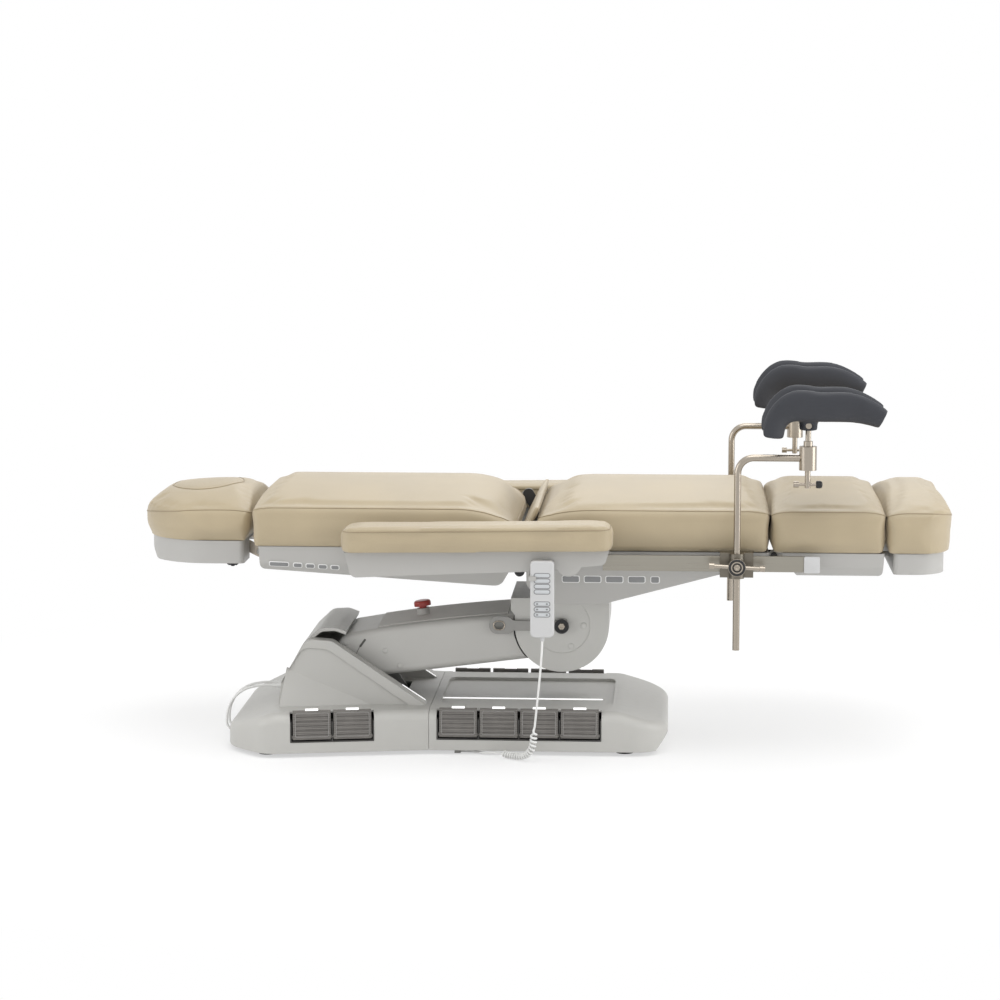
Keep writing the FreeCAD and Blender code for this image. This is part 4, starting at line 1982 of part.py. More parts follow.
def curl_axis(points, bend):
    """Axis of the curly stretch: down, round a bend and along the floor, as a function of length."""
    a, b, c = points
    into = a - b
    away = c - b
    into.normalize()
    away.normalize()
    half = into.getAngle(away) / 2
    reach = bend / math.tan(half)
    entry = b + into * reach
    leave = b + away * reach
    inward = into + away
    inward.normalize()
    centre = b + inward * (bend / math.sin(half))
    sweep = math.pi - 2 * half
    first = (entry - a).Length
    turn = bend * sweep
    last = (c - leave).Length
    normal = (into * -1).cross(away)
    normal.normalize()

    def at(s):
        if s <= first:
            return a - into * s, into * -1
        if s <= first + turn:
            angle = (s - first) / bend
            arm = entry - centre
            swing = normal.cross(arm)
            point = centre + arm * math.cos(angle) + swing * math.sin(angle)
            return point, (swing * math.cos(angle) - arm * math.sin(angle)) * (1 / bend)
        return leave + away * (s - first - turn), away

    return at, first + turn + last, normal


def curl_points():
    """Points and tangents of the curly stretch, four to a turn."""
    ends = [V(*p) for p in CORD_POINTS[2:5]]
    at, length, normal = curl_axis(ends, CURL_BEND)
    turns = CURL_TURNS_HANGING + CURL_TURNS_LYING
    hanging = CURL_TURNS_HANGING * CURL_PITCH_HANGING
    lying = CURL_TURNS_LYING * CURL_PITCH_LYING
    scale = length / (hanging + lying)

    def length_at(t):
        if t < CURL_TURNS_HANGING:
            return t * CURL_PITCH_HANGING * scale
        return (hanging + (t - CURL_TURNS_HANGING) * CURL_PITCH_LYING) * scale

    def point(t):
        p, tangent = at(length_at(t))
        out = tangent.cross(normal)
        ramp = min(1.0, t / 1.5, (turns - t) / 1.5)
        swell = CURL_RADIUS * ramp * ramp * (3 - 2 * ramp)
        phase = 2 * math.pi * t
        return p + out * (swell * math.cos(phase)) + normal * (swell * math.sin(phase))

    samples = []
    steps = 4 * turns
    small = 1e-4
    for i in range(steps + 1):
        t = i / 4
        if i == 0:
            tangent = at(0)[1]
        elif i == steps:
            tangent = at(length)[1]
        else:
            tangent = point(t + small) - point(t - small)
            tangent.normalize()
        samples.append((point(t), tangent))
    return samples


def handset_cord():
    """Handset cord: straight down, curly to the floor and along it, then under the base."""
    points = [V(*p) for p in CORD_POINTS]
    upper = points[:3]
    lower = points[4:]
    samples = curl_points()
    bend = arc_radius(*upper)
    head = route(upper, {1: bend})
    edges = head[:]
    corner = points[2]
    into = (points[2] - points[1])
    into.normalize()
    edges += biarc_chain([(corner, into)] + samples[1:])
    bends = {i: arc_radius(*lower[i - 1:i + 2]) for i in range(1, len(lower) - 1)}
    edges += route(lower, bends)
    radii = [round(r, 1) for r in [bend] + list(bends.values())]
    print("handset cord radii", radii, "length", round(sum(e.Length for e in edges)))
    print("handset cord least gap", round(least_gap(edges, CABLE_RADIUS), 2))
    return tube(edges, CABLE_RADIUS)


def biarc_chain(samples):
    """Biarcs through a list of points and tangents."""
    edges = []
    for (p, tp), (q, tq) in zip(samples, samples[1:]):
        edges += biarc(p, tp, q, tq)
    return edges


def least_gap(edges, radius):
    """Least clear gap of a tube to itself, measured on points along its path."""
    points = []
    run = 0.0
    for e in edges:
        count = max(2, int(e.Length / radius))
        for i in range(count):
            u = e.FirstParameter + (e.LastParameter - e.FirstParameter) * i / count
            points.append((run + e.Length * i / count, e.valueAt(u)))
        run += e.Length
    least = 1e9
    for i, (s, p) in enumerate(points):
        for t, q in points[i + 1:]:
            if t - s > 6 * radius:
                least = min(least, p.distanceToPoint(q) - 2 * radius)
    return least


def rear_leads():
    """Two leads that leave the tower's plugs, loop down and pass under the rear cover."""
    leads = []
    for y in PLUG_YS:
        points = [V(x, y, z) for x, z in LEAD_POINTS]
        radii = {i: arc_radius(*points[i - 1:i + 2]) for i in range(1, len(points) - 1)}
        edges = route(points, radii)
        bends = [round(r, 1) for r in radii.values()]
        print("rear lead radii", bends, "length", round(sum(e.Length for e in edges)))
        leads.append(tube(edges, LEAD_RADIUS))
    return group(leads)


def lead_plugs():
    """Plugs of the rear leads in the tower's sockets, each with a ribbed relief."""
    plugs = []
    for y in PLUG_YS:
        x0 = TOWER_REAR_X - PLUG_LENGTH
        body = rod_x(y, PLUG_Z, PLUG_RADIUS, TOWER_REAR_X - 18, TOWER_REAR_X - SEAT_FIT)
        nose = rod_x(y, PLUG_Z, PLUG_RADIUS - 2, TOWER_REAR_X - 1, TOWER_REAR_X + 12)
        taper = (LEAD_RADIUS + 1, PLUG_RADIUS - 1.5, PLUG_LENGTH - 17)
        relief = Part.makeCone(*taper, V(x0, y, PLUG_Z), V(1, 0, 0))
        plugs.append(fused([body, nose, relief]))
    return group(plugs)


def pedal_nodes():
    """Every pedal by name."""
    nodes = {}
    for name, x, y, turn, count in bank_places():
        for i in range(count):
            near = place_bank(pedal((i - (count - 1) / 2) * PEDAL_PITCH), x, y, turn)
            nodes[f"pedal_near_{name}_{i + 1}"] = near
            nodes[f"pedal_far_{name}_{i + 1}"] = mirrored(near)
    return nodes


def pedal_trays():
    """The four pedal trays."""
    trays = []
    for _, x, y, turn, count in bank_places():
        near = place_bank(pedal_tray(count), x, y, turn)
        trays += [near, mirrored(near)]
    return group(trays)


def nodes():
    """Every node of the chair, by name."""
    found = {
        "base_frame": base_frame(),
        "rear_base_cover": rear_base_cover(),
        "front_base_cover": front_base_cover(),
        "levelling_feet": levelling_feet(),
        "pedal_trays": pedal_trays(),
        "arm_beam": arm_beam(),
        "arm_cover": arm_cover(),
        "arm_top_panel": arm_top_panel(),
        "estop_button": estop_button(),
        "parallel_link": parallel_link(),
        "lift_actuator_body": lift_actuator_body(),
        "lift_actuator_rod": lift_actuator_rod(),
        "knuckle_housing": knuckle_housing(),
        "swivel_lever": swivel_lever(),
        "seat_frame": seat_frame(),
        "seat_actuators": seat_actuators(),
        "seat_pan": seat_pan(),
        "seat_cushion": seat_cushion(),
        "side_rails": side_rails(),
        "gap_flap": gap_flap(),
        "handset": handset(),
        "back_pan": back_pan(),
        "back_cushion": back_cushion(),
        "head_pan": head_pan(),
        "head_cushion": head_cushion(),
        "head_bracket": head_bracket(),
        "head_knob": head_knob(),
        "leg_pan": leg_pan(),
        "leg_cushion": leg_cushion(),
        "foot_pan": foot_pan(),
        "foot_cushion": foot_cushion(),
        "handset_cord": handset_cord(),
        "rear_leads": rear_leads(),
        "lead_plugs": lead_plugs(),
    }
    found.update(pedal_nodes())
    sided = {
        "armrest_pad": armrest_pad,
        "armrest_shell": armrest_shell,
        "stirrup_clamp": stirrup_clamp,
        "clamp_screw": clamp_screw,
        "stirrup_post": stirrup_post,
        "crutch_rod": crutch_rod,
        "crutch_pad": crutch_pad,
    }
    for name, make in sided.items():
        far = make()
        found[f"{name}_far"] = far
        found[f"{name}_near"] = mirrored(far)
    return found


def main():
    """Write one file per node."""
    os.makedirs("parts", exist_ok=True)
    for name, shape in nodes().items():
        shape.exportStep(f"parts/{name}.step")
        kinds = "" if shape.isValid() else "  invalid"
        print(name, len(shape.Solids), round(shape.Volume / 1000, 1), "cm3" + kinds)


main()
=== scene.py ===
import logging
import math
from dataclasses import dataclass, field
from enum import Enum

import bpy
import bmesh
from mathutils import Matrix, Vector
from mathutils.bvhtree import BVHTree
from mathutils.kdtree import KDTree


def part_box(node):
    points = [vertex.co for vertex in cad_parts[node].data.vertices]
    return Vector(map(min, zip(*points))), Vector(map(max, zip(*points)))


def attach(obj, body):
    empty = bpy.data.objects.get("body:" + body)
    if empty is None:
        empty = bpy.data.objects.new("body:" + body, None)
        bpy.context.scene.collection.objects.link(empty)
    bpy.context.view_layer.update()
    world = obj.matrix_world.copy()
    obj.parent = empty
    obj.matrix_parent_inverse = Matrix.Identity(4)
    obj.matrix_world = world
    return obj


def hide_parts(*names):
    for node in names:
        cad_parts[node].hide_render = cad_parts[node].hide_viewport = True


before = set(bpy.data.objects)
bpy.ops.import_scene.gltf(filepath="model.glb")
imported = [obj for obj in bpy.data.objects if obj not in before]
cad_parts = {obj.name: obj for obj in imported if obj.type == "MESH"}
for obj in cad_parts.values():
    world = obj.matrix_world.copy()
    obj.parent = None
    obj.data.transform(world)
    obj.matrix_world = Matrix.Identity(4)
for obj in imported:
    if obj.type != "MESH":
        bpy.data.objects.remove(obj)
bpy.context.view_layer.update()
log = logging.getLogger("chair")

Point = tuple[float, float, float]
Colour = tuple[float, float, float]

# Shared limits, counts of steps and numbers of a Mix node's colour sockets
SHARP = 40.0
STEEP = 0.8
TINY = 1e-9
FEWEST_STEPS = 4
CORNER_STEPS = 6
EDGE_STEPS = 3
EDGE_SAMPLES = 4
HEXAGON = 6
MIX_FIRST, MIX_SECOND, MIX_RESULT = 6, 7, 2


# Finishes


class Wire:
    """A value in a finish's nodes; arithmetic on it adds Math nodes."""

    def __init__(self, board: "Board", socket: bpy.types.NodeSocket) -> None:
        """Wrap one output socket of a board."""
        self.board = board
        self.socket = socket

    def of(self, output: str) -> "Wire":
        """Another output of the same node."""
        return Wire(self.board, self.socket.node.outputs[output])

    def _math(self, operation: str, first: "Value", second: "Value") -> "Wire":
        """Add one Math node for an operation on two values."""
        return self.board.add("ShaderNodeMath", {"operation": operation}, {0: first, 1: second})

    def __add__(self, other: "Value") -> "Wire":
        """Sum of two values."""
        return self._math("ADD", self, other)

    def __radd__(self, other: "Value") -> "Wire":
        """Sum of a number and this value."""
        return self._math("ADD", other, self)

    def __sub__(self, other: "Value") -> "Wire":
        """Difference of two values."""
        return self._math("SUBTRACT", self, other)

    def __rsub__(self, other: "Value") -> "Wire":
        """A number less this value."""
        return self._math("SUBTRACT", other, self)

    def __mul__(self, other: "Value") -> "Wire":
        """Product of two values."""
        return self._math("MULTIPLY", self, other)

    def __rmul__(self, other: "Value") -> "Wire":
        """Product of a number and this value."""
        return self._math("MULTIPLY", other, self)

    def sine(self) -> "Wire":
        """Sine of this value."""
        return self._math("SINE", self, 0.0)

    def away(self) -> "Wire":
        """This value without its sign."""
        return self._math("ABSOLUTE", self, 0.0)

    def root(self) -> "Wire":
        """Square root of this value."""
        return self._math("SQRT", self, 0.0)

    def larger(self, other: "Value") -> "Wire":
        """The larger of two values."""
        return self._math("MAXIMUM", self, other)

    def step(self, low: float, high: float) -> "Wire":
        """Smooth step of this value from 0 at low to 1 at high.

        Args:
            low: Value where the step starts.
            high: Value where the step ends.

        Returns:
            The stepped value.
        """
        settings = {"interpolation_type": "SMOOTHSTEP"}
        sockets = {"Value": self, "From Min": low, "From Max": high}
        return self.board.add("ShaderNodeMapRange", settings, sockets)


Value = Wire | float


class Board:
    """The nodes of one material or of the world."""

    def __init__(self, name: str = "", tree: bpy.types.NodeTree | None = None) -> None:
        """Start empty.

        Args:
            name: Name of the new material, where no node tree is given.
            tree: Node tree to fill.
        """
        self.material = None
        if tree is None:
            self.material = bpy.data.materials.new(name)
            self.material.use_nodes = True
            tree = self.material.node_tree
        self.tree = tree
        self.tree.nodes.clear()

    def add(
        self, kind: str, settings: dict | None = None, sockets: dict | None = None, output: int = 0,
    ) -> Wire:
        """Add a node.

        Args:
            kind: Blender's name of the node's type.
            settings: Properties of the node, set first.
            sockets: Values or wires of its inputs, by name or number.
            output: Number of the output to return.

        Returns:
            The chosen output.
        """
        node = self.tree.nodes.new(kind)
        for key, value in (settings or {}).items():
            setattr(node, key, value)
        for key, value in (sockets or {}).items():
            if isinstance(value, Wire):
                self.tree.links.new(value.socket, node.inputs[key])
            else:
                node.inputs[key].default_value = value
        return Wire(self, node.outputs[output])

    def place(self) -> Wire:
        """Coordinates in metres, fixed to the piece."""
        return self.add("ShaderNodeTexCoord").of("Object")

    def axes(self, place: Wire) -> tuple[Wire, Wire, Wire]:
        """The three parts of a coordinate."""
        first = self.add("ShaderNodeSeparateXYZ", sockets={"Vector": place})
        return first, first.of("Y"), first.of("Z")

    def noise(self, place: Wire, scale: float, detail: float = 3.0) -> Wire:
        """Soft noise from 0 to 1.

        Args:
            place: Coordinates of the surface.
            scale: Spots per metre.
            detail: Octaves of finer noise.

        Returns:
            The noise value.
        """
        return self.add("ShaderNodeTexNoise", sockets={"Vector": place, "Scale": scale, "Detail": detail})

    def blend(self, amount: Value, first: Wire | Colour, second: Wire | Colour) -> Wire:
        """Mix two colours.

        Args:
            amount: Share of the second colour.
            first: Colour at 0.
            second: Colour at 1.

        Returns:
            The mixed colour.
        """
        ends = {MIX_FIRST: first, MIX_SECOND: second}
        sockets = {k: v if isinstance(v, Wire) else (*v, 1.0) for k, v in ends.items()}
        return self.add("ShaderNodeMix", {"data_type": "RGBA"}, {0: amount, **sockets}, MIX_RESULT)

    def bump(self, height: Wire, distance: float, strength: float, edge: float = 0.0) -> Wire:
        """Turn heights into a normal, over softened edges.

        Args:
            height: Heights from 0 to 1.
            distance: Height of 1, in metres.
            strength: Share of the effect.
            edge: Radius of the softened edges, in metres, or 0.

        Returns:
            The normal.
        """
        sockets: dict = {"Height": height, "Distance": distance, "Strength": strength}
        if edge > 0:
            sockets["Normal"] = self.add("ShaderNodeBevel", {"samples": EDGE_SAMPLES}, {"Radius": edge})
        return self.add("ShaderNodeBump", sockets=sockets)

    def close(self, sockets: dict) -> bpy.types.Material:
        """End in one surface shader.

        Args:
            sockets: Values and wires of the shader.

        Returns:
            The finished material.
        """
        self.end("ShaderNodeOutputMaterial", self.add("ShaderNodeBsdfPrincipled", sockets=sockets))
        return self.material

    def end(self, kind: str, surface: Wire) -> None:
        """Link a shader to the output.

        Args:
            kind: Blender's name of the output's type.
            surface: The shader.
        """
        out = self.tree.nodes.new(kind)
        self.tree.links.new(surface.socket, out.inputs["Surface"])

    def seen(self) -> Wire:
        """Whether a ray comes from the camera, a reflection or through glass.

        Returns:
            1 for such a ray and 0 for any other.
        """
        path = self.add("ShaderNodeLightPath")
        return path.larger(path.of("Is Glossy Ray")).larger(path.of("Is Transmission Ray"))


def shaded(colour: Colour, share: float) -> Colour:
    """A colour made darker or lighter by a share."""
    return tuple(min(1.0, c * share) for c in colour)


@dataclass(frozen=True)
class CoatedCloth:
    """Upholstery cover: coated cloth with a fine pebble grain."""

    name: str
    colour: Colour
    pebble: float = 620.0
    roughness: float = 0.40
    sheen: float = 0.12
    cloud: float = 7.0
    cloud_step: tuple[float, float] = (0.3, 0.7)
    tones: tuple[float, float] = (0.95, 1.04)
    crease: float = 38.0
    pore_width: float = 0.12
    pore_mix: float = 0.16
    pore_tone: float = 0.62
    pore_height: float = 0.5
    crease_height: float = 0.9
    unevenness: float = 0.08
    relief: tuple[float, float] = (0.0004, 0.30)
    gloss: float = 0.5
    nap: float = 0.5

    def paint(self) -> bpy.types.Material:
        """Make the material.

        Returns:
            The material.
        """
        b = Board(self.name)
        place = b.place()
        tone = b.noise(place, self.cloud, detail=2.0)
        crease = b.noise(place, self.crease, detail=4.0)
        cells = {"Vector": place, "Scale": self.pebble}
        grain = b.add("ShaderNodeTexVoronoi", {"feature": "DISTANCE_TO_EDGE"}, cells)
        pores = grain.step(0.0, self.pore_width)
        low, high = (shaded(self.colour, share) for share in self.tones)
        colour = b.blend(tone.step(*self.cloud_step), low, high)
        colour = b.blend((1 - pores) * self.pore_mix, colour, shaded(self.colour, self.pore_tone))
        height = pores * self.pore_height + crease * self.crease_height
        return b.close({
            "Base Color": colour,
            "Roughness": self.roughness + tone * self.unevenness + (1 - pores) * self.unevenness,
            "Normal": b.bump(height, *self.relief),
            "Specular IOR Level": self.gloss,
            "Sheen Weight": self.sheen,
            "Sheen Roughness": self.nap,
        })


@dataclass(frozen=True)
class Moulded:
    """Moulded plastic or painted metal with a fine spark texture."""

    name: str
    colour: Colour
    roughness: float = 0.42
    texture: float = 900.0
    depth: float = 0.00012
    edge: float = 0.0016
    speckle: float = 0.05
    cloud: float = 4.0
    cloud_share: float = 0.6
    scuff: float = 55.0
    scuff_step: tuple[float, float] = (0.45, 0.75)
    scuff_rough: float = 0.07
    strength: float = 0.35
    gloss: float = 0.45

    def paint(self) -> bpy.types.Material:
        """Make the material.

        Returns:
            The material.
        """
        b = Board(self.name)
        place = b.place()
        fine = b.noise(place, self.texture, detail=2.0)
        tone = b.noise(place, self.cloud)
        scuff = b.noise(place, self.scuff, detail=5.0)
        low = shaded(self.colour, 1 - self.speckle)
        high = shaded(self.colour, 1 + self.speckle)
        colour = b.blend(tone * self.cloud_share + fine * (1 - self.cloud_share), low, high)
        return b.close({
            "Base Color": colour,
            "Roughness": self.roughness + scuff.step(*self.scuff_step) * self.scuff_rough,
            "Normal": b.bump(fine, self.depth, self.strength, self.edge),
            "Specular IOR Level": self.gloss,
        })


@dataclass(frozen=True)
class TwoTone:
    """Painted steel, pale where it stands outside the pans and dark between them, where the dark is painted
    shade.
    """

    name: str
    # Colour between the pans, a painted shade
    inner: Colour
    outer: Colour
    reach: float
    roughness: float = 0.45
    texture: float = 800.0
    change: float = 0.001
    inner_speckle: float = 0.08
    outer_speckle: float = 0.05
    scuff: float = 40.0
    scuff_step: tuple[float, float] = (0.45, 0.75)
    scuff_rough: float = 0.08
    relief: tuple[float, float, float] = (0.00012, 0.35, 0.0012)
    gloss: float = 0.45

    def paint(self) -> bpy.types.Material:
        """Make the material.

        Returns:
            The material.
        """
        b = Board(self.name)
        place = b.place()
        _, y, _ = b.axes(place)
        fine = b.noise(place, self.texture, detail=2.0)
        scuff = b.noise(place, self.scuff, detail=4.0)
        # Pale outside the pans; the dark colour between them is painted shade
        outside = y.away().step(self.reach - self.change, self.reach + self.change)
        low, high = (
            b.blend(outside, shaded(self.inner, 1 + sign * self.inner_speckle),
                    shaded(self.outer, 1 + sign * self.outer_speckle))
            for sign in (-1, 1)
        )
        return b.close({
            "Base Color": b.blend(fine, low, high),
            "Roughness": self.roughness + scuff.step(*self.scuff_step) * self.scuff_rough,
            "Normal": b.bump(fine, *self.relief),
            "Specular IOR Level": self.gloss,
        })


class Lay(Enum):
    """Direction of a brushed finish's lines."""

    ALONG = (4.0, 900.0, 900.0)
    UPRIGHT = (900.0, 900.0, 4.0)


@dataclass(frozen=True)
class Brushed:
    """Brushed stainless steel."""

    name: str
    colour: Colour
    lay: Lay
    roughness: float = 0.24
    tones: tuple[float, float] = (0.86, 1.08)
    line_share: float = 0.7
    line_rough: float = 0.10
    cloud: float = 9.0
    cloud_step: tuple[float, float] = (0.5, 0.8)
    cloud_rough: float = 0.05
    relief: tuple[float, float, float] = (0.00006, 0.25, 0.0008)

    def paint(self) -> bpy.types.Material:
        """Make the material.

        Returns:
            The material.
        """
        b = Board(self.name)
        place = b.place()
        stretched = b.add("ShaderNodeMapping", sockets={"Vector": place, "Scale": self.lay.value})
        lines = b.noise(stretched, 1.0)
        cloud = b.noise(place, self.cloud, detail=2.0)
        low, high = (shaded(self.colour, share) for share in self.tones)
        colour = b.blend(lines * self.line_share + cloud * (1 - self.line_share), low, high)
        smear = cloud.step(*self.cloud_step) * self.cloud_rough
        return b.close({
            "Base Color": colour,
            "Metallic": 1.0,
            "Roughness": self.roughness + lines * self.line_rough + smear,
            "Normal": b.bump(lines, *self.relief),
        })


@dataclass(frozen=True)
class Ribbed:
    """Pedal rubber with fine level ribs, with painted shade in the troughs and a painted highlight on the
    crests.
    """

    name: str
    colour: Colour
    pitch: float = 0.0042
    # Share and range of the painted shade in the rib troughs and the painted highlight on the crests
    rib_mix: float = 0.75
    tones: tuple[float, float] = (0.6, 1.25)
    texture: float = 700.0
    texture_height: float = 0.15
    wear: float = 24.0
    wear_step: tuple[float, float] = (0.4, 0.7)
    wear_mix: float = 0.22
    wear_tone: float = 1.6
    roughness: float = 0.52
    unevenness: float = 0.12
    relief: tuple[float, float, float] = (0.0006, 0.6, 0.001)

    def paint(self) -> bpy.types.Material:
        """Make the material.

        Returns:
            The material.
        """
        b = Board(self.name)
        place = b.place()
        _, _, z = b.axes(place)
        ribs = (z * (2 * math.pi / self.pitch)).sine() * 0.5 + 0.5
        fine = b.noise(place, self.texture, detail=2.0)
        worn = b.noise(place, self.wear, detail=4.0).step(*self.wear_step)
        low, high = (shaded(self.colour, share) for share in self.tones)
        # Painted shade in the rib troughs and painted highlight on the crests, following the ribs' height
        colour = b.blend(ribs * self.rib_mix, low, high)
        colour = b.blend(worn * self.wear_mix, colour, shaded(self.colour, self.wear_tone))
        return b.close({
            "Base Color": colour,
            "Roughness": self.roughness + fine * self.unevenness,
            "Normal": b.bump(ribs + fine * self.texture_height, *self.relief),
        })


@dataclass(frozen=True)
class Skin:
    """Closed-cell foam with a moulded skin."""

    name: str
    colour: Colour
    pebble: float = 700.0
    cloud: float = 14.0
    tones: tuple[float, float] = (0.82, 1.2)
    roughness: float = 0.46
    unevenness: float = 0.14
    relief: tuple[float, float] = (0.00025, 0.3)
    gloss: float = 0.4

    def paint(self) -> bpy.types.Material:
        """Make the material.

        Returns:
            The material.
        """
        b = Board(self.name)
        place = b.place()
        cells = {"Vector": place, "Scale": self.pebble}
        pebble = b.add("ShaderNodeTexVoronoi", {"feature": "F1"}, cells)
        tone = b.noise(place, self.cloud)
        low, high = (shaded(self.colour, share) for share in self.tones)
        return b.close({
            "Base Color": b.blend(tone, low, high),
            "Roughness": self.roughness + tone * self.unevenness,
            "Normal": b.bump(pebble, *self.relief),
            "Specular IOR Level": self.gloss,
        })


@dataclass(frozen=True)
class Lit:
    """White light strip behind a diffuser; on the pedal tabs the same glow is a painted highlight."""

    name: str
    strength: float
    frost: float = 300.0
    whites: tuple[Colour, Colour] = ((0.86, 0.86, 0.86), (0.95, 0.95, 0.95))
    roughness: float = 0.35

    def paint(self) -> bpy.types.Material:
        """Make the material.

        Returns:
            The material.
        """
        b = Board(self.name)
        frost = b.noise(b.place(), self.frost, detail=2.0)
        return b.close({
            "Base Color": b.blend(frost, *self.whites),
            "Roughness": self.roughness,
            "Emission Color": (1.0, 1.0, 1.0, 1.0),
            "Emission Strength": self.strength,
        })


class Finish(Enum):
    """Every finish on the chair."""

    COVER = CoatedCloth("cover_beige", (0.405, 0.333, 0.218))
    WELT = CoatedCloth("cover_welt", (0.30, 0.24, 0.150), 900.0, 0.5, 0.05)
    SHELL = Moulded("shell_warm_grey", (0.470, 0.464, 0.440))
    ARM = Moulded("arm_warm_grey", (0.500, 0.493, 0.470))
    PAN = Moulded("pan_pale_grey", (0.400, 0.393, 0.376))
    CASTING = Moulded("knuckle_grey", (0.510, 0.505, 0.480), 0.36)
    # Lighter than the arm cover as painted light, making up for the seat's shade over the panel, which is the
    # darker part
    GRAINED = Moulded("arm_grained_grey", (0.560, 0.546, 0.522), 0.6, 420.0, 0.0005, 0.001, 0.22)
    LEVER = Moulded("lever_grey", (0.290, 0.284, 0.270), 0.30)
    FRAME = Moulded("frame_grey", (0.290, 0.285, 0.272), 0.5)
    STEEL = Moulded("frame_dark_paint", (0.035, 0.035, 0.037), 0.5)
    # Seat frame pale outside the pans and darkened between them as painted shade
    CARRIER = TwoTone("carrier_paint", (0.035, 0.035, 0.037), (0.400, 0.393, 0.376), 0.330)
    ACTUATOR = Moulded("actuator_grey", (0.11, 0.11, 0.115), 0.4)
    RAIL = Brushed("rail_brushed", (0.345, 0.325, 0.280), Lay.ALONG)
    POST = Brushed("post_brushed", (0.40, 0.355, 0.298), Lay.UPRIGHT, 0.20)
    CLAMP = Brushed("clamp_dark", (0.19, 0.172, 0.142), Lay.ALONG, 0.30)
    PEDAL = Ribbed("pedal_ribbed", (0.165, 0.155, 0.143))
    PEDAL_RIM = Moulded("pedal_rim", (0.270, 0.262, 0.250), 0.45)
    TRAY = Moulded("tray_dark", (0.060, 0.058, 0.054), 0.6)
    CRUTCH = Skin("crutch_charcoal", (0.032, 0.034, 0.041))
    BLACK = Moulded("knob_black", (0.012, 0.012, 0.013), 0.38)
    RUBBER = Moulded("foot_rubber", (0.018, 0.018, 0.018), 0.7, 500.0, 0.0003)
    RED = Moulded("stop_red", (0.40, 0.055, 0.045), 0.3)
    WHITE = Moulded("handset_white", (0.52, 0.52, 0.52), 0.32, 900.0, 0.00005, 0.001, 0.02)
    CORD = Moulded("cord_white", (0.74, 0.74, 0.725), 0.40, 500.0, 0.0001, 0.0, 0.03)
    KEY = Moulded("key_grey", (0.22, 0.223, 0.225), 0.35, 900.0, 0.00005, 0.0005, 0.06)
    KEY_RIM = Moulded("key_rim_white", (0.76, 0.76, 0.75), 0.40, 900.0, 0.00005, 0.0004, 0.03)
    KEY_PALE = Moulded("key_pale", (0.50, 0.515, 0.53), 0.35, 900.0, 0.00005, 0.0004, 0.05)
    # Dark joint lines, and the painted shade of the arm's slots
    LINE = Moulded("joint_shadow", (0.10, 0.097, 0.09), 0.7)
    # Glow of the light strips, also painted on the pedal tabs as a highlight
    LIGHT = Lit("light_strip", 0.75)


class Wardrobe:
    """Materials made once and shared."""

    made: dict[Finish, bpy.types.Material] = {}

    @classmethod
    def get(cls, finish: Finish) -> bpy.types.Material:
        """Look up a finish, and make its material on first use.

        Args:
            finish: The finish.

        Returns:
            Its material.
        """
        if finish not in cls.made:
            cls.made[finish] = finish.value.paint()
        return cls.made[finish]


# Pieces


class Side(Enum):
    """A side of the chair, as its direction across it."""

    NEAR = -1.0
    FAR = 1.0

    def __str__(self) -> str:
        """Word for the side in the names of its pieces."""
        return self.name.lower()

    def face(self, node: str) -> float:
        """Place across the chair of a solid's outermost point on this side."""
        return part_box(node)[0 if self is Side.NEAR else 1].y


def dress_node(node: str, finish: Finish) -> None:
    """Give a solid of the frame its finish.

    Args:
        node: Name of the solid.
        finish: Its finish.
    """
    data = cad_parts[node].data
    data.materials.clear()
    data.materials.append(Wardrobe.get(finish))
    log.info("dressed %s as %s", node, finish.name)


def piece(name: str, mesh: bpy.types.Mesh, finish: Finish, body: str) -> bpy.types.Object:
    """Make an object that rides on a body.

    Args:
        name: Name of the piece.
        mesh: Its mesh, in the chair's frame.
        finish: Its finish.
        body: Body that carries it.

    Returns:
        The new object.
    """
    made = bpy.data.objects.new(name, mesh)
    bpy.context.scene.collection.objects.link(made)
    mesh.materials.clear()
    mesh.materials.append(Wardrobe.get(finish))
    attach(made, body)
    log.info("made %s on %s", name, body)
    return made


def meshed(name: str, bm: bmesh.types.BMesh) -> bpy.types.Mesh:
    """Turn finished faces into a mesh, shaded smooth up to its sharp edges.

    Args:
        name: Name of the mesh.
        bm: The faces, which are used up.

    Returns:
        The mesh.
    """
    mesh = bpy.data.meshes.new(name)
    bm.to_mesh(mesh)
    bm.free()
    mesh.shade_smooth()
    mesh.set_sharp_from_angle(angle=math.radians(SHARP))
    return mesh


def skinned(name: str, rings: list[list[Vector]], closed: bool) -> bpy.types.Mesh:
    """Skin over rings of points.

    Args:
        name: Name of the mesh.
        rings: Rings with the same number of points each.
        closed: Whether the last ring joins the first; else both ends are flat.

    Returns:
        The mesh.
    """
    bm = bmesh.new()
    made = [[bm.verts.new(p) for p in ring] for ring in rings]
    for low, high in zip(made, made[1:] + made[:1] if closed else made[1:]):
        for k in range(len(low)):
            m = (k + 1) % len(low)
            bm.faces.new((low[k], low[m], high[m], high[k]))
    if not closed:
        bm.faces.new(list(reversed(made[0])))
        bm.faces.new(made[-1])
    return meshed(name, bm)


def circle(count: int) -> list[tuple[float, float]]:
    """Points of a unit circle."""
    return [(math.cos(a), math.sin(a)) for a in (2 * math.pi * i / count for i in range(count))]


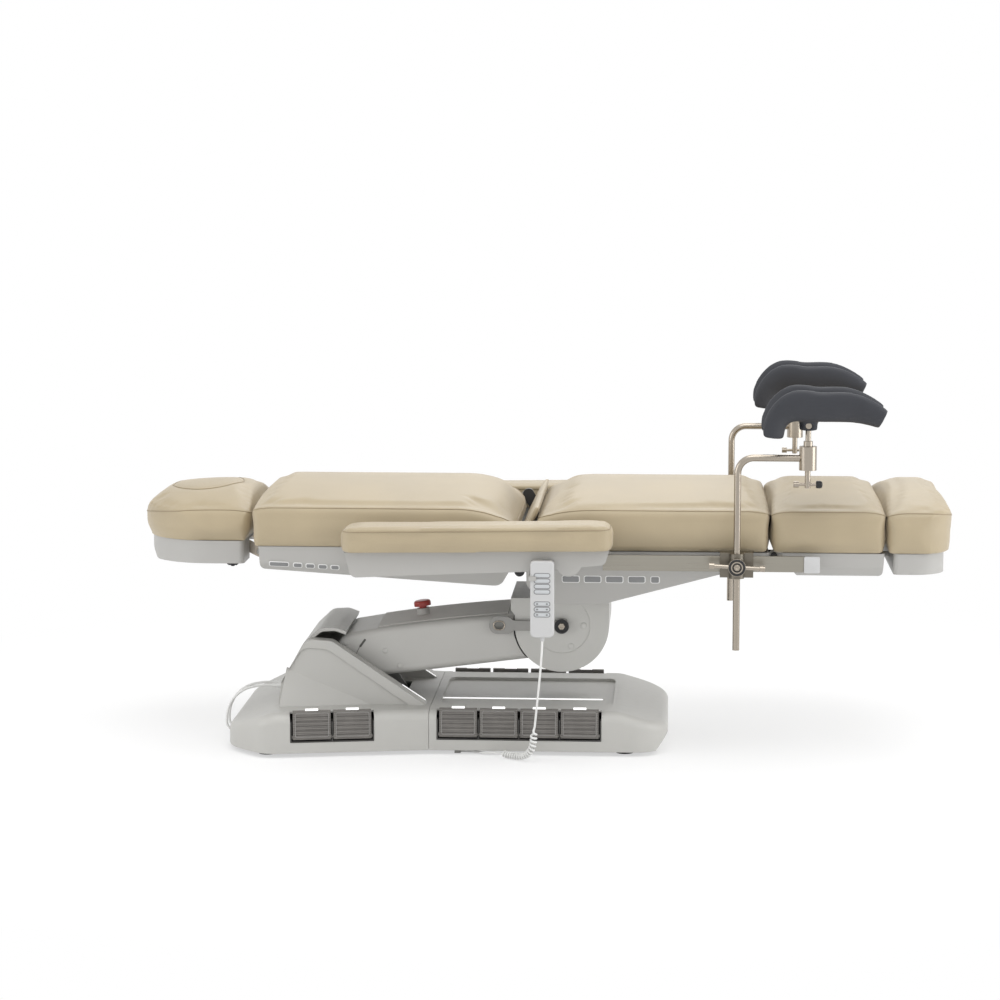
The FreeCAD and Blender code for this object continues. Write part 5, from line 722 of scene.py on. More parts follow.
def slab(name: str, at: Matrix, size: Point, corner: float, edge: float) -> bpy.types.Mesh:
    """Rounded plate whose face looks along its own Z.

    Args:
        name: Name of the mesh.
        at: Place and turn of its middle.
        size: Its sides.
        corner: Radius of its corners.
        edge: Radius of its rim.

    Returns:
        The mesh.
    """
    bm = bmesh.new()
    bmesh.ops.create_cube(bm, size=1.0)
    bmesh.ops.scale(bm, vec=size, verts=bm.verts)
    upright = [e for e in bm.edges if e.verts[0].co.z * e.verts[1].co.z < 0]
    bmesh.ops.bevel(bm, geom=upright, offset=corner, segments=CORNER_STEPS, affect="EDGES", profile=0.5)
    top = [e for e in bm.edges if all(v.co.z > 0 for v in e.verts)
           and any(abs(f.normal.z) < 0.5 for f in e.link_faces)]
    bmesh.ops.bevel(bm, geom=top, offset=edge, segments=EDGE_STEPS, affect="EDGES", profile=0.5)
    bmesh.ops.transform(bm, matrix=at, verts=bm.verts)
    return meshed(name, bm)


def facing(middle: Point, outward: Point, along: Point = (1.0, 0.0, 0.0)) -> Matrix:
    """Placement with Z outward and X along a direction.

    Args:
        middle: Place of the middle.
        outward: Direction of the face.
        along: Direction of the long side.

    Returns:
        The placement.
    """
    z = Vector(outward).normalized()
    x = (Vector(along) - z * Vector(along).dot(z)).normalized()
    y = z.cross(x)
    turn = Matrix((x, y, z)).transposed().to_4x4()
    return Matrix.Translation(middle) @ turn


def raised(at: Matrix, lift: float, aside: float = 0.0) -> Matrix:
    """A placement moved outward along its own Z and aside along its own X."""
    return at @ Matrix.Translation((aside, 0.0, lift))


def turned(name: str, at: Matrix, outline: list[tuple[float, float]], count: int = 28) -> bpy.types.Mesh:
    """Round piece turned about its own Z from (radius, height) points.

    Args:
        name: Name of the mesh.
        at: Place and turn of its axis.
        outline: Radius and height of each point, from the base to the top.
        count: Steps round the axis.

    Returns:
        The mesh.
    """
    spots = circle(count)
    rings = [[at @ Vector((r * x, r * y, height)) for x, y in spots] for r, height in outline]
    return skinned(name, rings, False)


def piping(name: str, points: list[Vector], radius: float, closed: bool, sides: int = 8) -> bpy.types.Mesh:
    """Thin round cord along points.

    Args:
        name: Name of the mesh.
        points: Line that it follows.
        radius: Its radius.
        closed: Whether it joins its own start.
        sides: Sides of its section.

    Returns:
        The mesh.
    """
    count = len(points)
    spots = circle(sides)
    rings = []
    first = (points[1] - points[0]).normalized()
    side = Vector((1.0, 0.0, 0.0)) if abs(first.z) > STEEP else Vector((0.0, 0.0, 1.0))
    for i, p in enumerate(points):
        before = points[i - 1] if closed or i else p
        after = points[(i + 1) % count] if closed or i < count - 1 else p
        along = (after - before).normalized()
        side = (side - along * side.dot(along)).normalized()
        cross = along.cross(side)
        rings.append([p + (side * x + cross * y) * radius for x, y in spots])
    return skinned(name, rings, closed)


# Upholstery


def settled(made: bpy.types.Object) -> bpy.types.Mesh:
    """A piece's mesh with its modifiers applied."""
    graph = bpy.context.evaluated_depsgraph_get()
    return bpy.data.meshes.new_from_object(made.evaluated_get(graph))


def resample(points: list[Vector], step: float, closed: bool) -> list[Vector]:
    """Even points along a line.

    Args:
        points: The line.
        step: Distance between the new points.
        closed: Whether the line joins its own start.

    Returns:
        The new points.
    """
    line = points + points[:1] if closed else points
    lengths = [0.0]
    for a, b in zip(line, line[1:]):
        lengths.append(lengths[-1] + (b - a).length)
    count = max(FEWEST_STEPS, round(lengths[-1] / step))
    out = []
    k = 0
    for i in range(count if closed else count + 1):
        s = lengths[-1] * i / count
        while k < len(lengths) - 2 and lengths[k + 1] < s:
            k += 1
        span = max(lengths[k + 1] - lengths[k], TINY)
        out.append(line[k].lerp(line[k + 1], (s - lengths[k]) / span))
    return out


def ease(value: float) -> float:
    """Smooth step of a number from 0 to 1."""
    t = min(1.0, max(0.0, value))
    return t * t * (3 - 2 * t)


class End(Enum):
    """An end of a cushion."""

    REAR = "rear"
    FRONT = "front"


@dataclass(frozen=True)
class Fall:
    """Rounded fall of a cushion's top towards one end."""

    end: End
    reach: float
    depth: float

    def at(self, x: float, low: float, high: float) -> float:
        """How far the top has come down at a place.

        Args:
            x: Place along the chair.
            low: Rear end of the cushion.
            high: Front end of the cushion.

        Returns:
            The fall, in metres.
        """
        away = high - x if self.end is End.FRONT else x - low
        t = min(1.0, max(0.0, 1 - away / self.reach))
        return self.depth * (1 - math.sqrt(1 - t * t))


@dataclass
class Cushion:
    """A padded section: a blown-up cover with a sewn seam round its top panel."""

    node: str
    body: str
    voxel: float
    swell: float
    seam: float | None
    slope: float = 0.0
    falls: tuple[Fall, ...] = ()
    tuck: float = 0.003
    crisp: float = 0.0042
    fill: float = 0.8
    soften: int = 3
    pressure: float = 4.0
    welt: float = 0.0011
    oval: tuple[float, float, float, float] | None = None
    slot: str = "upholstery"
    finish: Finish = Finish.COVER
    base_share: float = 0.35
    held_rows: float = 2.0
    sink: float = 0.25
    frames: int = 20
    quality: int = 4
    mass: float = 0.3
    stretch: float = 15.0
    shear: float = 5.0
    bend: float = 0.5
    evenings: int = 2
    rays: int = 720
    oval_rays: int = 160
    ray_reach: float = 1.2
    ray_lift: float = 0.1
    ray_tries: int = 5
    pace: float = 0.006
    edge_width: float = 0.017
    sewn: float = -0.0022
    sewn_width: float = 0.009
    widest: float = 3.0
    proud: float = 0.0004

    def __post_init__(self) -> None:
        """Look up the space that the cushion fills."""
        self.low, self.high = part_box(self.node)

    def build(self) -> bpy.types.Object:
        """Build the cushion, its seams and its finish.

        Returns:
            The cushion.
        """
        made = bpy.data.objects.new(self.node + "_cover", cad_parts[self.node].data.copy())
        bpy.context.scene.collection.objects.link(made)
        self._even_out(made)
        self._shape(made)
        self._blow_up(made)
        lines = self._seam_lines(made)
        lines = self._draw_edges(made, lines)
        finer = made.modifiers.new("finer", "SUBSURF")
        finer.levels = finer.render_levels = 1
        made.data = settled(made)
        made.modifiers.clear()
        made.data.materials.clear()
        made.data.materials.append(Wardrobe.get(self.finish))
        made.data.shade_smooth()
        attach(made, self.body)
        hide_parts(self.node)
        tree = self._skin(made)
        for i, line in enumerate(lines):
            laid = [p + n * self.proud for p, n, _, _ in (tree.find_nearest(q) for q in line)]
            seam = piping(f"{self.node}_seam_{i}", laid, self.welt, True)
            piece(f"{self.node}_seam_{i}", seam, Finish.WELT, self.body)
        log.info("cushion %s: %d faces", self.node, len(made.data.polygons))
        return made

    def _even_out(self, made: bpy.types.Object) -> None:
        """Give the cover an even mesh with soft corners.

        Args:
            made: The cushion.
        """
        remesh = made.modifiers.new("even", "REMESH")
        remesh.mode = "VOXEL"
        remesh.voxel_size = self.voxel
        soft = made.modifiers.new("soft", "SMOOTH")
        soft.factor = 0.5
        soft.iterations = self.soften
        made.data = settled(made)
        made.modifiers.clear()

    def _fall(self, x: float, z: float) -> float:
        """How far a point of the cover comes down at its place and height."""
        share = ease((z - self.low.z) / (self.high.z - self.low.z))
        return share * sum(f.at(x, self.low.x, self.high.x) for f in self.falls)

    def _shape(self, made: bpy.types.Object) -> None:
        """Let the top fall towards the ends and draw the base in.

        Args:
            made: The cushion.
        """
        zone = self.base_share * (self.high.z - self.low.z)
        outward = [v.normal.copy() for v in made.data.vertices]
        for v, normal in zip(made.data.vertices, outward):
            near_base = max(0.0, 1 - (v.co.z - self.low.z) / zone)
            side = Vector((normal.x, normal.y, 0.0)) * (self.tuck * near_base * near_base)
            v.co = v.co - side - Vector((0.0, 0.0, self._fall(v.co.x, v.co.z)))
        made.data.update()

    def _blow_up(self, made: bpy.types.Object) -> None:
        """Let the cover swell over its foam, held along its base.

        Args:
            made: The cushion.
        """
        data = made.data
        low = min(v.co.z for v in data.vertices)
        held = made.vertex_groups.new(name="held")
        top = low + self.held_rows * self.voxel
        held.add([v.index for v in data.vertices if v.co.z < top], 1.0, "REPLACE")
        start = [v.co.copy() for v in data.vertices]
        outward = [v.normal.copy() for v in data.vertices]
        cloth = made.modifiers.new("cloth", "CLOTH")
        cloth.settings.quality = self.quality
        cloth.settings.mass = self.mass
        cloth.settings.tension_stiffness = self.stretch
        cloth.settings.compression_stiffness = self.stretch
        cloth.settings.shear_stiffness = self.shear
        cloth.settings.bending_stiffness = self.bend
        cloth.settings.use_pressure = True
        cloth.settings.uniform_pressure_force = self.pressure
        cloth.settings.effector_weights.gravity = 0
        cloth.settings.vertex_group_mass = "held"
        cloth.collision_settings.use_collision = False
        cloth.point_cache.frame_start = 1
        cloth.point_cache.frame_end = self.frames
        scene = bpy.context.scene
        for step in range(1, self.frames + 1):
            scene.frame_set(step)
        blown = settled(made)
        moves = [(v.co - a).dot(n) for v, a, n in zip(blown.vertices, start, outward)]
        moves = [min(self.swell, max(-self.sink * self.swell, m)) for m in moves]
        made.modifiers.clear()
        bpy.data.meshes.remove(blown)
        for v, a, n, m in zip(data.vertices, start, outward, self._evened(data, moves)):
            v.co = a + n * m
        data.update()
        scene.frame_set(1)

    def _evened(self, data: bpy.types.Mesh, moves: list[float]) -> list[float]:
        """Average each point's move with its neighbours'.

        Args:
            data: The cover's mesh.
            moves: Move of each point along its normal.

        Returns:
            The evened moves.
        """
        ends = [tuple(e.vertices) for e in data.edges]
        for _ in range(self.evenings):
            sums = [0.0] * len(moves)
            counts = [0] * len(moves)
            for a, b in ends:
                sums[a] += moves[b]
                sums[b] += moves[a]
                counts[a] += 1
                counts[b] += 1
            moves = [0.5 * m + 0.5 * s / max(1, c) for m, s, c in zip(moves, sums, counts)]
        return moves

    def _skin(self, made: bpy.types.Object) -> BVHTree:
        """The cover's surface, for rays and nearest points."""
        corners = [v.co for v in made.data.vertices]
        return BVHTree.FromPolygons(corners, [tuple(f.vertices) for f in made.data.polygons])

    def _seam_lines(self, made: bpy.types.Object) -> list[list[Vector]]:
        """Lines of the seams on the cover, from rays towards its middle.

        Args:
            made: The cushion.

        Returns:
            One closed line for each seam.
        """
        tree = self._skin(made)
        middle = (self.low + self.high) / 2
        lines = []
        if self.seam is not None:
            line = []
            for dx, dy in circle(self.rays):
                out = Vector((dx, dy, 0.0))
                x = middle.x
                hit = None
                for _ in range(self.ray_tries):
                    level = self.seam + self.slope * x
                    inside = Vector((middle.x, middle.y, level - self._fall(x, level)))
                    hit = tree.ray_cast(inside + out * self.ray_reach, -out)[0]
                    if hit is None:
                        break
                    x = hit.x
                if hit is not None:
                    line.append(hit)
            lines.append(resample(line, self.pace, True))
        if self.oval is not None:
            x, y, rx, ry = self.oval
            above = self.high.z + self.ray_lift
            starts = [Vector((x + rx * dx, y + ry * dy, above)) for dx, dy in circle(self.oval_rays)]
            hits = [tree.ray_cast(start, Vector((0.0, 0.0, -1.0)))[0] for start in starts]
            lines.append(resample([hit for hit in hits if hit is not None], self.pace, True))
        return lines

    def _draw_edges(self, made: bpy.types.Object, lines: list[list[Vector]]) -> list[list[Vector]]:
        """Stretch the cover out to its edge seam and draw it in along an inner seam.

        Args:
            made: The cushion.
            lines: The seams' lines.

        Returns:
            The lines, moved with the cover.
        """
        out = []
        for line in lines:
            inner = self.seam is None or line is lines[-1] and self.oval is not None
            push, width = (self.sewn, self.sewn_width) if inner else (self.crisp, self.edge_width)
            tree = KDTree(len(line))
            for i, p in enumerate(line):
                tree.insert(p, i)
            tree.balance()
            outward = [v.normal.copy() for v in made.data.vertices]
            near = {}
            for v, normal in zip(made.data.vertices, outward):
                _, i, far = tree.find(v.co)
                if far > self.widest * width:
                    continue
                v.co = v.co + normal * (push * math.exp(-((far / width) ** 2)))
                if i not in near or far < near[i][0]:
                    near[i] = (far, normal)
            moved = [p + near[i][1] * push if i in near else p for i, p in enumerate(line)]
            out.append(resample(moved, self.pace, True))
            made.data.update()
        return out


@dataclass
class Upholstery:
    """The padded sections of the chair."""

    edge: float = 0.581
    head_edge: float = 0.566
    arm_edge: float = 0.556
    arm_rise: float = 0.016
    rear: Fall = Fall(End.REAR, 0.050, 0.014)
    front: Fall = Fall(End.FRONT, 0.050, 0.014)
    shoulder: Fall = Fall(End.FRONT, 0.140, 0.080)
    slope: Fall = Fall(End.REAR, 0.170, 0.085)
    head: tuple[Fall, ...] = (Fall(End.REAR, 0.200, 0.034), Fall(End.FRONT, 0.060, 0.012))
    face: tuple[float, float, float, float] = (-0.812, 0.0, 0.086, 0.10)

    def build(self) -> None:
        """Build every cushion and pad."""
        ends = (self.rear, self.front)
        Cushion(
            "seat_cushion", "seat", voxel=0.0075, swell=0.007, seam=self.edge,
            falls=(self.slope, self.front),
        ).build()
        Cushion(
            "back_cushion", "back", voxel=0.0075, swell=0.007, seam=self.edge,
            falls=(self.rear, self.shoulder),
        ).build()
        Cushion("leg_cushion", "leg", voxel=0.0065, swell=0.006, seam=self.edge, falls=ends).build()
        Cushion(
            "foot_cushion", "foot", voxel=0.006, swell=0.005, seam=self.edge, falls=ends, crisp=0.0022,
        ).build()
        Cushion(
            "head_cushion", "head", voxel=0.006, swell=0.005, seam=self.head_edge, falls=self.head,
            tuck=0.013, crisp=0.0015, oval=self.face,
        ).build()
        Cushion(
            "gap_flap", "seat", voxel=0.004, swell=0.003, seam=None, tuck=0.0, pressure=1.5,
        ).build()
        for side in Side:
            Cushion(
                f"armrest_pad_{side}", f"armrest_{side}", voxel=0.005, swell=0.004, seam=self.arm_edge,
                slope=self.arm_rise, tuck=0.002, crisp=0.002, pressure=2.5,
            ).build()


# Base


@dataclass
class Base:
    """Covers, pedals and light strips of the base."""

    tray_light: tuple[float, float, float, float] = (-0.252, 0.146, -0.070, 0.097)
    rim_light: tuple[tuple[float, float], tuple[float, float]] = ((-0.330, 0.1438), (-0.274, 0.1069))
    rim_side: float = 0.1465
    strip: tuple[float, float] = (0.0052, 0.002)
    strip_round: tuple[float, float] = (0.0025, 0.0005)
    tab: Point = (0.030, 0.008, 0.0036)
    tab_round: tuple[float, float] = (0.002, 0.0004)
    tab_sink: float = 0.0001
    flare: float = 10.38
    lean: float = 5.04
    border: tuple[float, float] = (0.0385, 0.0275)
    border_corner: float = 0.003
    border_wire: float = 0.0009
    tab_back: float = 0.0085

    def build(self) -> None:
        """Dress the solids and add the small pieces."""
        for node in ("rear_base_cover", "front_base_cover"):
            dress_node(node, Finish.SHELL)
        dress_node("base_frame", Finish.FRAME)
        dress_node("levelling_feet", Finish.RUBBER)
        dress_node("pedal_trays", Finish.TRAY)
        for node in sorted(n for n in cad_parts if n.startswith("pedal_") and n != "pedal_trays"):
            self._pedal(node)
        self._lights()

    def _pedal(self, node: str) -> None:
        """Dress a pedal, frame its ribbed face and set a pale tab on its top, which glows as a painted
        highlight.

        Args:
            node: Name of the pedal.
        """
        dress_node(node, Finish.PEDAL)
        low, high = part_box(node)
        side = Side.NEAR if "near" in node else Side.FAR
        flare = math.radians(self.flare) * -side.value if "rear" in node else 0.0
        lean = math.radians(self.lean)
        along = Vector((math.cos(flare), math.sin(flare), 0.0))
        flat = Vector((-along.y, along.x, 0.0)) * side.value
        outward = flat * math.cos(lean) + Vector((0.0, 0.0, math.sin(lean)))
        face = max(v.co.dot(outward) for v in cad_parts[node].data.vertices)
        middle = (low + high) / 2
        middle = middle + outward * (face - middle.dot(outward))
        at = facing(middle, outward, along)
        outline = [at @ Vector((x, y, 0.0)) for x, y in rounded(self.border, self.border_corner)]
        rim = piping(f"{node}_rim", outline, self.border_wire, True)
        piece(f"{node}_rim", rim, Finish.PEDAL_RIM, node)
        top = middle - flat * self.tab_back
        top.z = high.z + self.tab[2] / 2 - self.tab_sink
        # The tab glows with the light strips' finish, a painted highlight on a tab that is no lamp
        tab = slab(f"{node}_tab", facing(top, (0.0, 0.0, 1.0), along), self.tab, *self.tab_round)
        piece(f"{node}_tab", tab, Finish.LIGHT, node)

    def _lights(self) -> None:
        """Light strips in the tray and along the foot of the tower's rims."""
        x0, x1, y, z = self.tray_light
        self._strip("tray_light", ((x0 + x1) / 2, y, z + self.strip[1] / 2), Vector((x1 - x0, 0.0, 0.0)))
        (xa, za), (xb, zb) = self.rim_light
        run = Vector((xb - xa, 0.0, zb - za))
        for side in Side:
            middle = ((xa + xb) / 2, side.value * self.rim_side, (za + zb) / 2)
            self._strip(f"rim_light_{side}", middle, run)

    def _strip(self, name: str, middle: Point, run: Vector) -> None:
        """One light strip.

        Args:
            name: Its name.
            middle: Its middle.
            run: Its direction and length.
        """
        at = facing(middle, (-run.z, 0.0, run.x), run)
        strip = slab(name, at, (run.length, *self.strip), *self.strip_round)
        piece(name, strip, Finish.LIGHT, "base")


def rounded(half: tuple[float, float], corner: float, steps: int = 4) -> list[tuple[float, float]]:
    """Outline of a rounded rectangle about its middle.

    Args:
        half: Half of its width and height.
        corner: Radius of its corners.
        steps: Steps round each corner.

    Returns:
        The points of the outline.
    """
    points = []
    for turn, (sx, sy) in enumerate(((1, 1), (-1, 1), (-1, -1), (1, -1))):
        for step in range(steps + 1):
            a = math.pi / 2 * (turn + step / steps)
            x = sx * (half[0] - corner) + corner * math.cos(a)
            points.append((x, sy * (half[1] - corner) + corner * math.sin(a)))
    return points


# Lift arm and knuckle


@dataclass
class LiftArm:
    """Arm covers, stop button and inner linkage."""

    screws: tuple[tuple[float, float], ...] = ((-0.466, 0.238), (-0.373, 0.220), (-0.338, 0.184))
    cap: float = 0.0068
    slot: tuple[tuple[float, float], tuple[float, float]] = ((-0.434, 0.228), (-0.420, 0.2475))
    slot_plate: tuple[float, float] = (0.0052, 0.0008)
    slot_round: tuple[float, float] = (0.0024, 0.0002)
    joint: tuple[tuple[float, float], ...] = (
        (-0.434, 0.229), (-0.438, 0.221), (-0.446, 0.204), (-0.452, 0.190),
    )
    joint_wire: float = 0.0006

    def build(self) -> None:
        """Dress the arm's solids and add its screw caps and side joints."""
        finishes = {
            "arm_cover": Finish.ARM, "arm_top_panel": Finish.GRAINED, "estop_button": Finish.RED,
            "arm_beam": Finish.STEEL, "parallel_link": Finish.STEEL, "lift_actuator_body": Finish.ACTUATOR,
            "lift_actuator_rod": Finish.POST,
        }
        for node, finish in finishes.items():
            dress_node(node, finish)
        for side in Side:
            y = side.face("arm_cover")
            for i, (x, z) in enumerate(self.screws):
                name = f"arm_cap_{side}_{i}"
                cap = screw_cap(name, (x, y, z), self.cap, side)
                piece(name, cap, Finish.ARM, "arm")
            self._joint(side, y)

    def _joint(self, side: Side, y: float) -> None:
        """Joint between the arm cover's root and its side, with a dark plate at the top as painted shade of a
        slot.

        Args:
            side: Which side of the arm.
            y: Place of the side face.
        """
        line = [Vector((x, y, z)) for x, z in self.joint]
        joint = piping(f"arm_joint_{side}", line, self.joint_wire, False)
        piece(f"arm_joint_{side}", joint, Finish.LINE, "arm")
        # A flat dark plate on the side face stands for the slot's recess as painted shade
        (xa, za), (xb, zb) = self.slot
        run = Vector((xb - xa, 0.0, zb - za))
        at = facing(((xa + xb) / 2, y, (za + zb) / 2), (0.0, side.value, 0.0), run)
        slot = slab(f"arm_slot_{side}", at, (run.length, *self.slot_plate), *self.slot_round)
        piece(f"arm_slot_{side}", slot, Finish.LINE, "arm")


CAP_DOME = ((1.0, -0.0004), (1.0, 0.0003), (0.93, 0.0008), (0.6, 0.0013), (0.25, 0.0015))


def screw_cap(name: str, at: Point, radius: float, side: Side) -> bpy.types.Mesh:
    """Low domed cap over a screw, on a side face.

    Args:
        name: Name of the mesh.
        at: Middle of its foot.
        radius: Its radius.
        side: Side that it looks to.

    Returns:
        The mesh.
    """
    outline = [(radius * share, height) for share, height in CAP_DOME]
    return turned(name, facing(at, (0.0, side.value, 0.0)), outline)


@dataclass
class Knuckle:
    """Knuckle housing and swivel lever."""

    screws: tuple[tuple[float, float], ...] = ((0.101, 0.287), (0.071, 0.237))
    cap: float = 0.0075
    hub: tuple[float, float] = (0.049, 0.287)
    dish: float = 0.067
    dish_arc: tuple[float, float] = (-140.0, 70.0)
    dish_steps: int = 48
    dish_wire: float = 0.0009
    loop: Point = (-0.0995, -0.1353, 0.287)
    loop_half: tuple[float, float] = (0.0132, 0.0102)
    loop_corner: float = 0.0101
    loop_wire: float = 0.0017
    ring: list[tuple[float, float]] = field(default_factory=lambda: [
        (0.0175, -0.0005), (0.0175, 0.0008), (0.0168, 0.0014), (0.0125, 0.0014), (0.0120, 0.0002),
    ])
    bolt: list[tuple[float, float]] = field(default_factory=lambda: [
        (0.0085, 0.0), (0.0085, 0.0022), (0.0078, 0.0030), (0.0040, 0.0030), (0.0036, 0.0016),
    ])

    def build(self) -> None:
        """Dress the solids and add caps, the dish's crease and the lever's rings."""
        dress_node("knuckle_housing", Finish.CASTING)
        dress_node("swivel_lever", Finish.LEVER)
        a0, a1 = self.dish_arc
        turns = [math.radians(a0 + (a1 - a0) * i / self.dish_steps) for i in range(self.dish_steps + 1)]
        for side in Side:
            y = side.face("knuckle_housing")
            for i, (x, z) in enumerate(self.screws):
                name = f"knuckle_cap_{side}_{i}"
                cap = screw_cap(name, (x, y, z), self.cap, side)
                piece(name, cap, Finish.CASTING, "knuckle")
            middle = Vector((self.hub[0], y, self.hub[1]))
            arc = [middle + Vector((math.cos(a), 0.0, math.sin(a))) * self.dish for a in turns]
            name = f"knuckle_dish_{side}"
            crease = piping(name, arc, self.dish_wire, False)
            piece(name, crease, Finish.CASTING, "knuckle")
        front = Side.NEAR.face("swivel_lever")
        at = facing((self.hub[0], front, self.hub[1]), (0.0, -1.0, 0.0))
        piece("lever_ring", turned("lever_ring", at, self.ring), Finish.BLACK, "lever")
        piece("lever_bolt", turned("lever_bolt", at, self.bolt, HEXAGON), Finish.POST, "lever")
        x, y, z = self.loop
        eye = [Vector((x + dx, y, z + dz)) for dx, dz in rounded(self.loop_half, self.loop_corner)]
        piece("lever_eye", piping("lever_eye", eye, self.loop_wire, True), Finish.POST, "lever")


# Seat, back, head and leg sections


@dataclass
class Sections:
    """Pans, frames, rails and keypads of the reclining sections."""

    flank_lean: float = 25.5
    back_lean: float = 38.0
    flank: tuple[float, float] = (0.283, 0.455)
    cap: float = 0.036
    cap_plate: float = 0.0036
    cap_taller: float = 0.002
    cap_past: float = 0.0015
    cap_proud: float = 0.0012
    cap_round: tuple[float, float] = (0.003, 0.0008)
    key_border: float = 0.004
    key_plates: tuple[float, float] = (0.0014, 0.0016)
    key_lift: float = 0.0006
    key_rim_round: tuple[float, float] = (0.005, 0.0004)
    key_round: tuple[float, float] = (0.0035, 0.0005)
    seat_key_level: float = 0.4215
    seat_key_gap: float = 0.004
    seat_key_height: float = 0.016
    seat_key_spans: tuple[tuple[float, float], ...] = (
        (0.054, 0.096), (0.105, 0.146), (0.155, 0.197), (0.207, 0.248), (0.259, 0.281),
    )
    back_key_level: tuple[float, float] = (0.4525, -0.603)
    back_key_slope: float = -0.06
    back_key_gap: float = 0.003
    back_key_height: float = 0.012
    back_key_spans: tuple[tuple[float, float], ...] = (
        (-0.626, -0.580), (-0.570, -0.549), (-0.541, -0.520), (-0.512, -0.491), (-0.483, -0.463),
    )

    def build(self) -> None:
        """Dress the solids and add the rails' caps and the keypads."""
        pans = [f"{section}_pan" for section in ("seat", "back", "head", "leg", "foot")]
        for node in pans + [f"armrest_shell_{side}" for side in Side]:
            dress_node(node, Finish.PAN)
        finishes = {
            "seat_frame": Finish.CARRIER, "seat_actuators": Finish.ACTUATOR, "side_rails": Finish.RAIL,
            "head_bracket": Finish.POST, "head_knob": Finish.BLACK,
        }
        for node, finish in finishes.items():
            dress_node(node, finish)
        self._rail_caps()
        self._seat_keys()
        self._back_keys()

    def _rail_caps(self) -> None:
        """Pale plastic caps on the front ends of the side rails."""
        low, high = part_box("side_rails")
        middle = (low.z + high.z) / 2
        size = (self.cap, high.z - low.z + self.cap_taller, self.cap_plate)
        x = high.x - self.cap / 2 + self.cap_past
        for side in Side:
            y = side.face("side_rails") + side.value * self.cap_proud
            at = facing((x, y, middle), (0.0, side.value, 0.0))
            cap = slab(f"rail_cap_{side}", at, size, *self.cap_round)
            piece(f"rail_cap_{side}", cap, Finish.WHITE, "seat")

    def _key(self, name: str, at: Matrix, size: tuple[float, float], body: str) -> None:
        """A membrane key with a pale outline.

        Args:
            name: Name of the key.
            at: Its place and turn.
            size: Its width and height.
            body: Body that carries it.
        """
        low, high = self.key_plates
        outer = (size[0] + self.key_border, size[1] + self.key_border, low)
        rim = slab(f"{name}_rim", at, outer, *self.key_rim_round)
        piece(f"{name}_rim", rim, Finish.KEY_RIM, body)
        face = slab(name, raised(at, self.key_lift), (*size, high), *self.key_round)
        piece(name, face, Finish.KEY, body)

    def _seat_keys(self) -> None:
        """Row of keys on the near flank of the seat pan."""
        for i, (x0, x1) in enumerate(self.seat_key_spans):
            at = self._flank((x0 + x1) / 2, self.seat_key_level, self.flank_lean, 0.0)
            size = (x1 - x0 - self.seat_key_gap, self.seat_key_height)
            self._key(f"seat_key_{i}", at, size, "seat")

    def _back_keys(self) -> None:
        """Row of keys along the lower near edge of the back pan."""
        level, start = self.back_key_level
        for i, (x0, x1) in enumerate(self.back_key_spans):
            x = (x0 + x1) / 2
            z = level + self.back_key_slope * (x - start)
            at = self._flank(x, z, self.back_lean, self.back_key_slope)
            size = (x1 - x0 - self.back_key_gap, self.back_key_height)
            self._key(f"back_key_{i}", at, size, "back")

    def _flank(self, x: float, z: float, lean: float, slope: float) -> Matrix:
        """Placement on the leaning near flank of a pan.

        Args:
            x: Place along the chair.
            z: Height.
            lean: Lean of the flank below its upper edge, in degrees.
            slope: Rise of the row along the chair.

        Returns:
            The placement.
        """
        turn = math.radians(lean)
        half, top = self.flank
        y = -(half - max(0.0, top - z) * math.tan(turn))
        return facing((x, y, z), (0.0, -math.cos(turn), -math.sin(turn)), (1.0, 0.0, slope))


@dataclass
class Handset:
    """Handset with two groups of pill keys, the lower group with dots."""

    rows: tuple[float, ...] = (0.033, 0.0455, 0.058, 0.0705, 0.098, 0.1105, 0.123)
    upper_rows: int = 4
    rim: Point = (0.038, 0.0118, 0.0008)
    rim_round: tuple[float, float] = (0.0056, 0.0002)
    key: Point = (0.0338, 0.0078, 0.0012)
    key_round: tuple[float, float] = (0.0038, 0.0004)
    key_lift: float = 0.0004
    dot: Point = (0.005, 0.004, 0.0008)
    dot_round: tuple[float, float] = (0.0018, 0.0002)
    dot_lift: float = 0.0009
    dots_at: tuple[float, float] = (-0.011, 0.011)

    def build(self) -> None:
        """Dress the handset and set the keys on its face."""
        dress_node("handset", Finish.WHITE)
        low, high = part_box("handset")
        for i, drop in enumerate(self.rows):
            at = facing(((low.x + high.x) / 2, low.y, high.z - drop), (0.0, Side.NEAR.value, 0.0))
            self._plate(f"handset_rim_{i}", at, self.rim, self.rim_round, Finish.KEY)
            over = raised(at, self.key_lift)
            self._plate(f"handset_key_{i}", over, self.key, self.key_round, Finish.KEY_PALE)
            if i < self.upper_rows:
                continue
            for k, aside in enumerate(self.dots_at):
                spot = raised(at, self.dot_lift, aside)
                self._plate(f"handset_dot_{i}_{k}", spot, self.dot, self.dot_round, Finish.KEY)

    def _plate(
        self, name: str, at: Matrix, size: Point, rounding: tuple[float, float], finish: Finish,
    ) -> None:
        """A rounded plate on the handset."""
        piece(name, slab(name, at, size, *rounding), finish, "seat")


# Stirrups


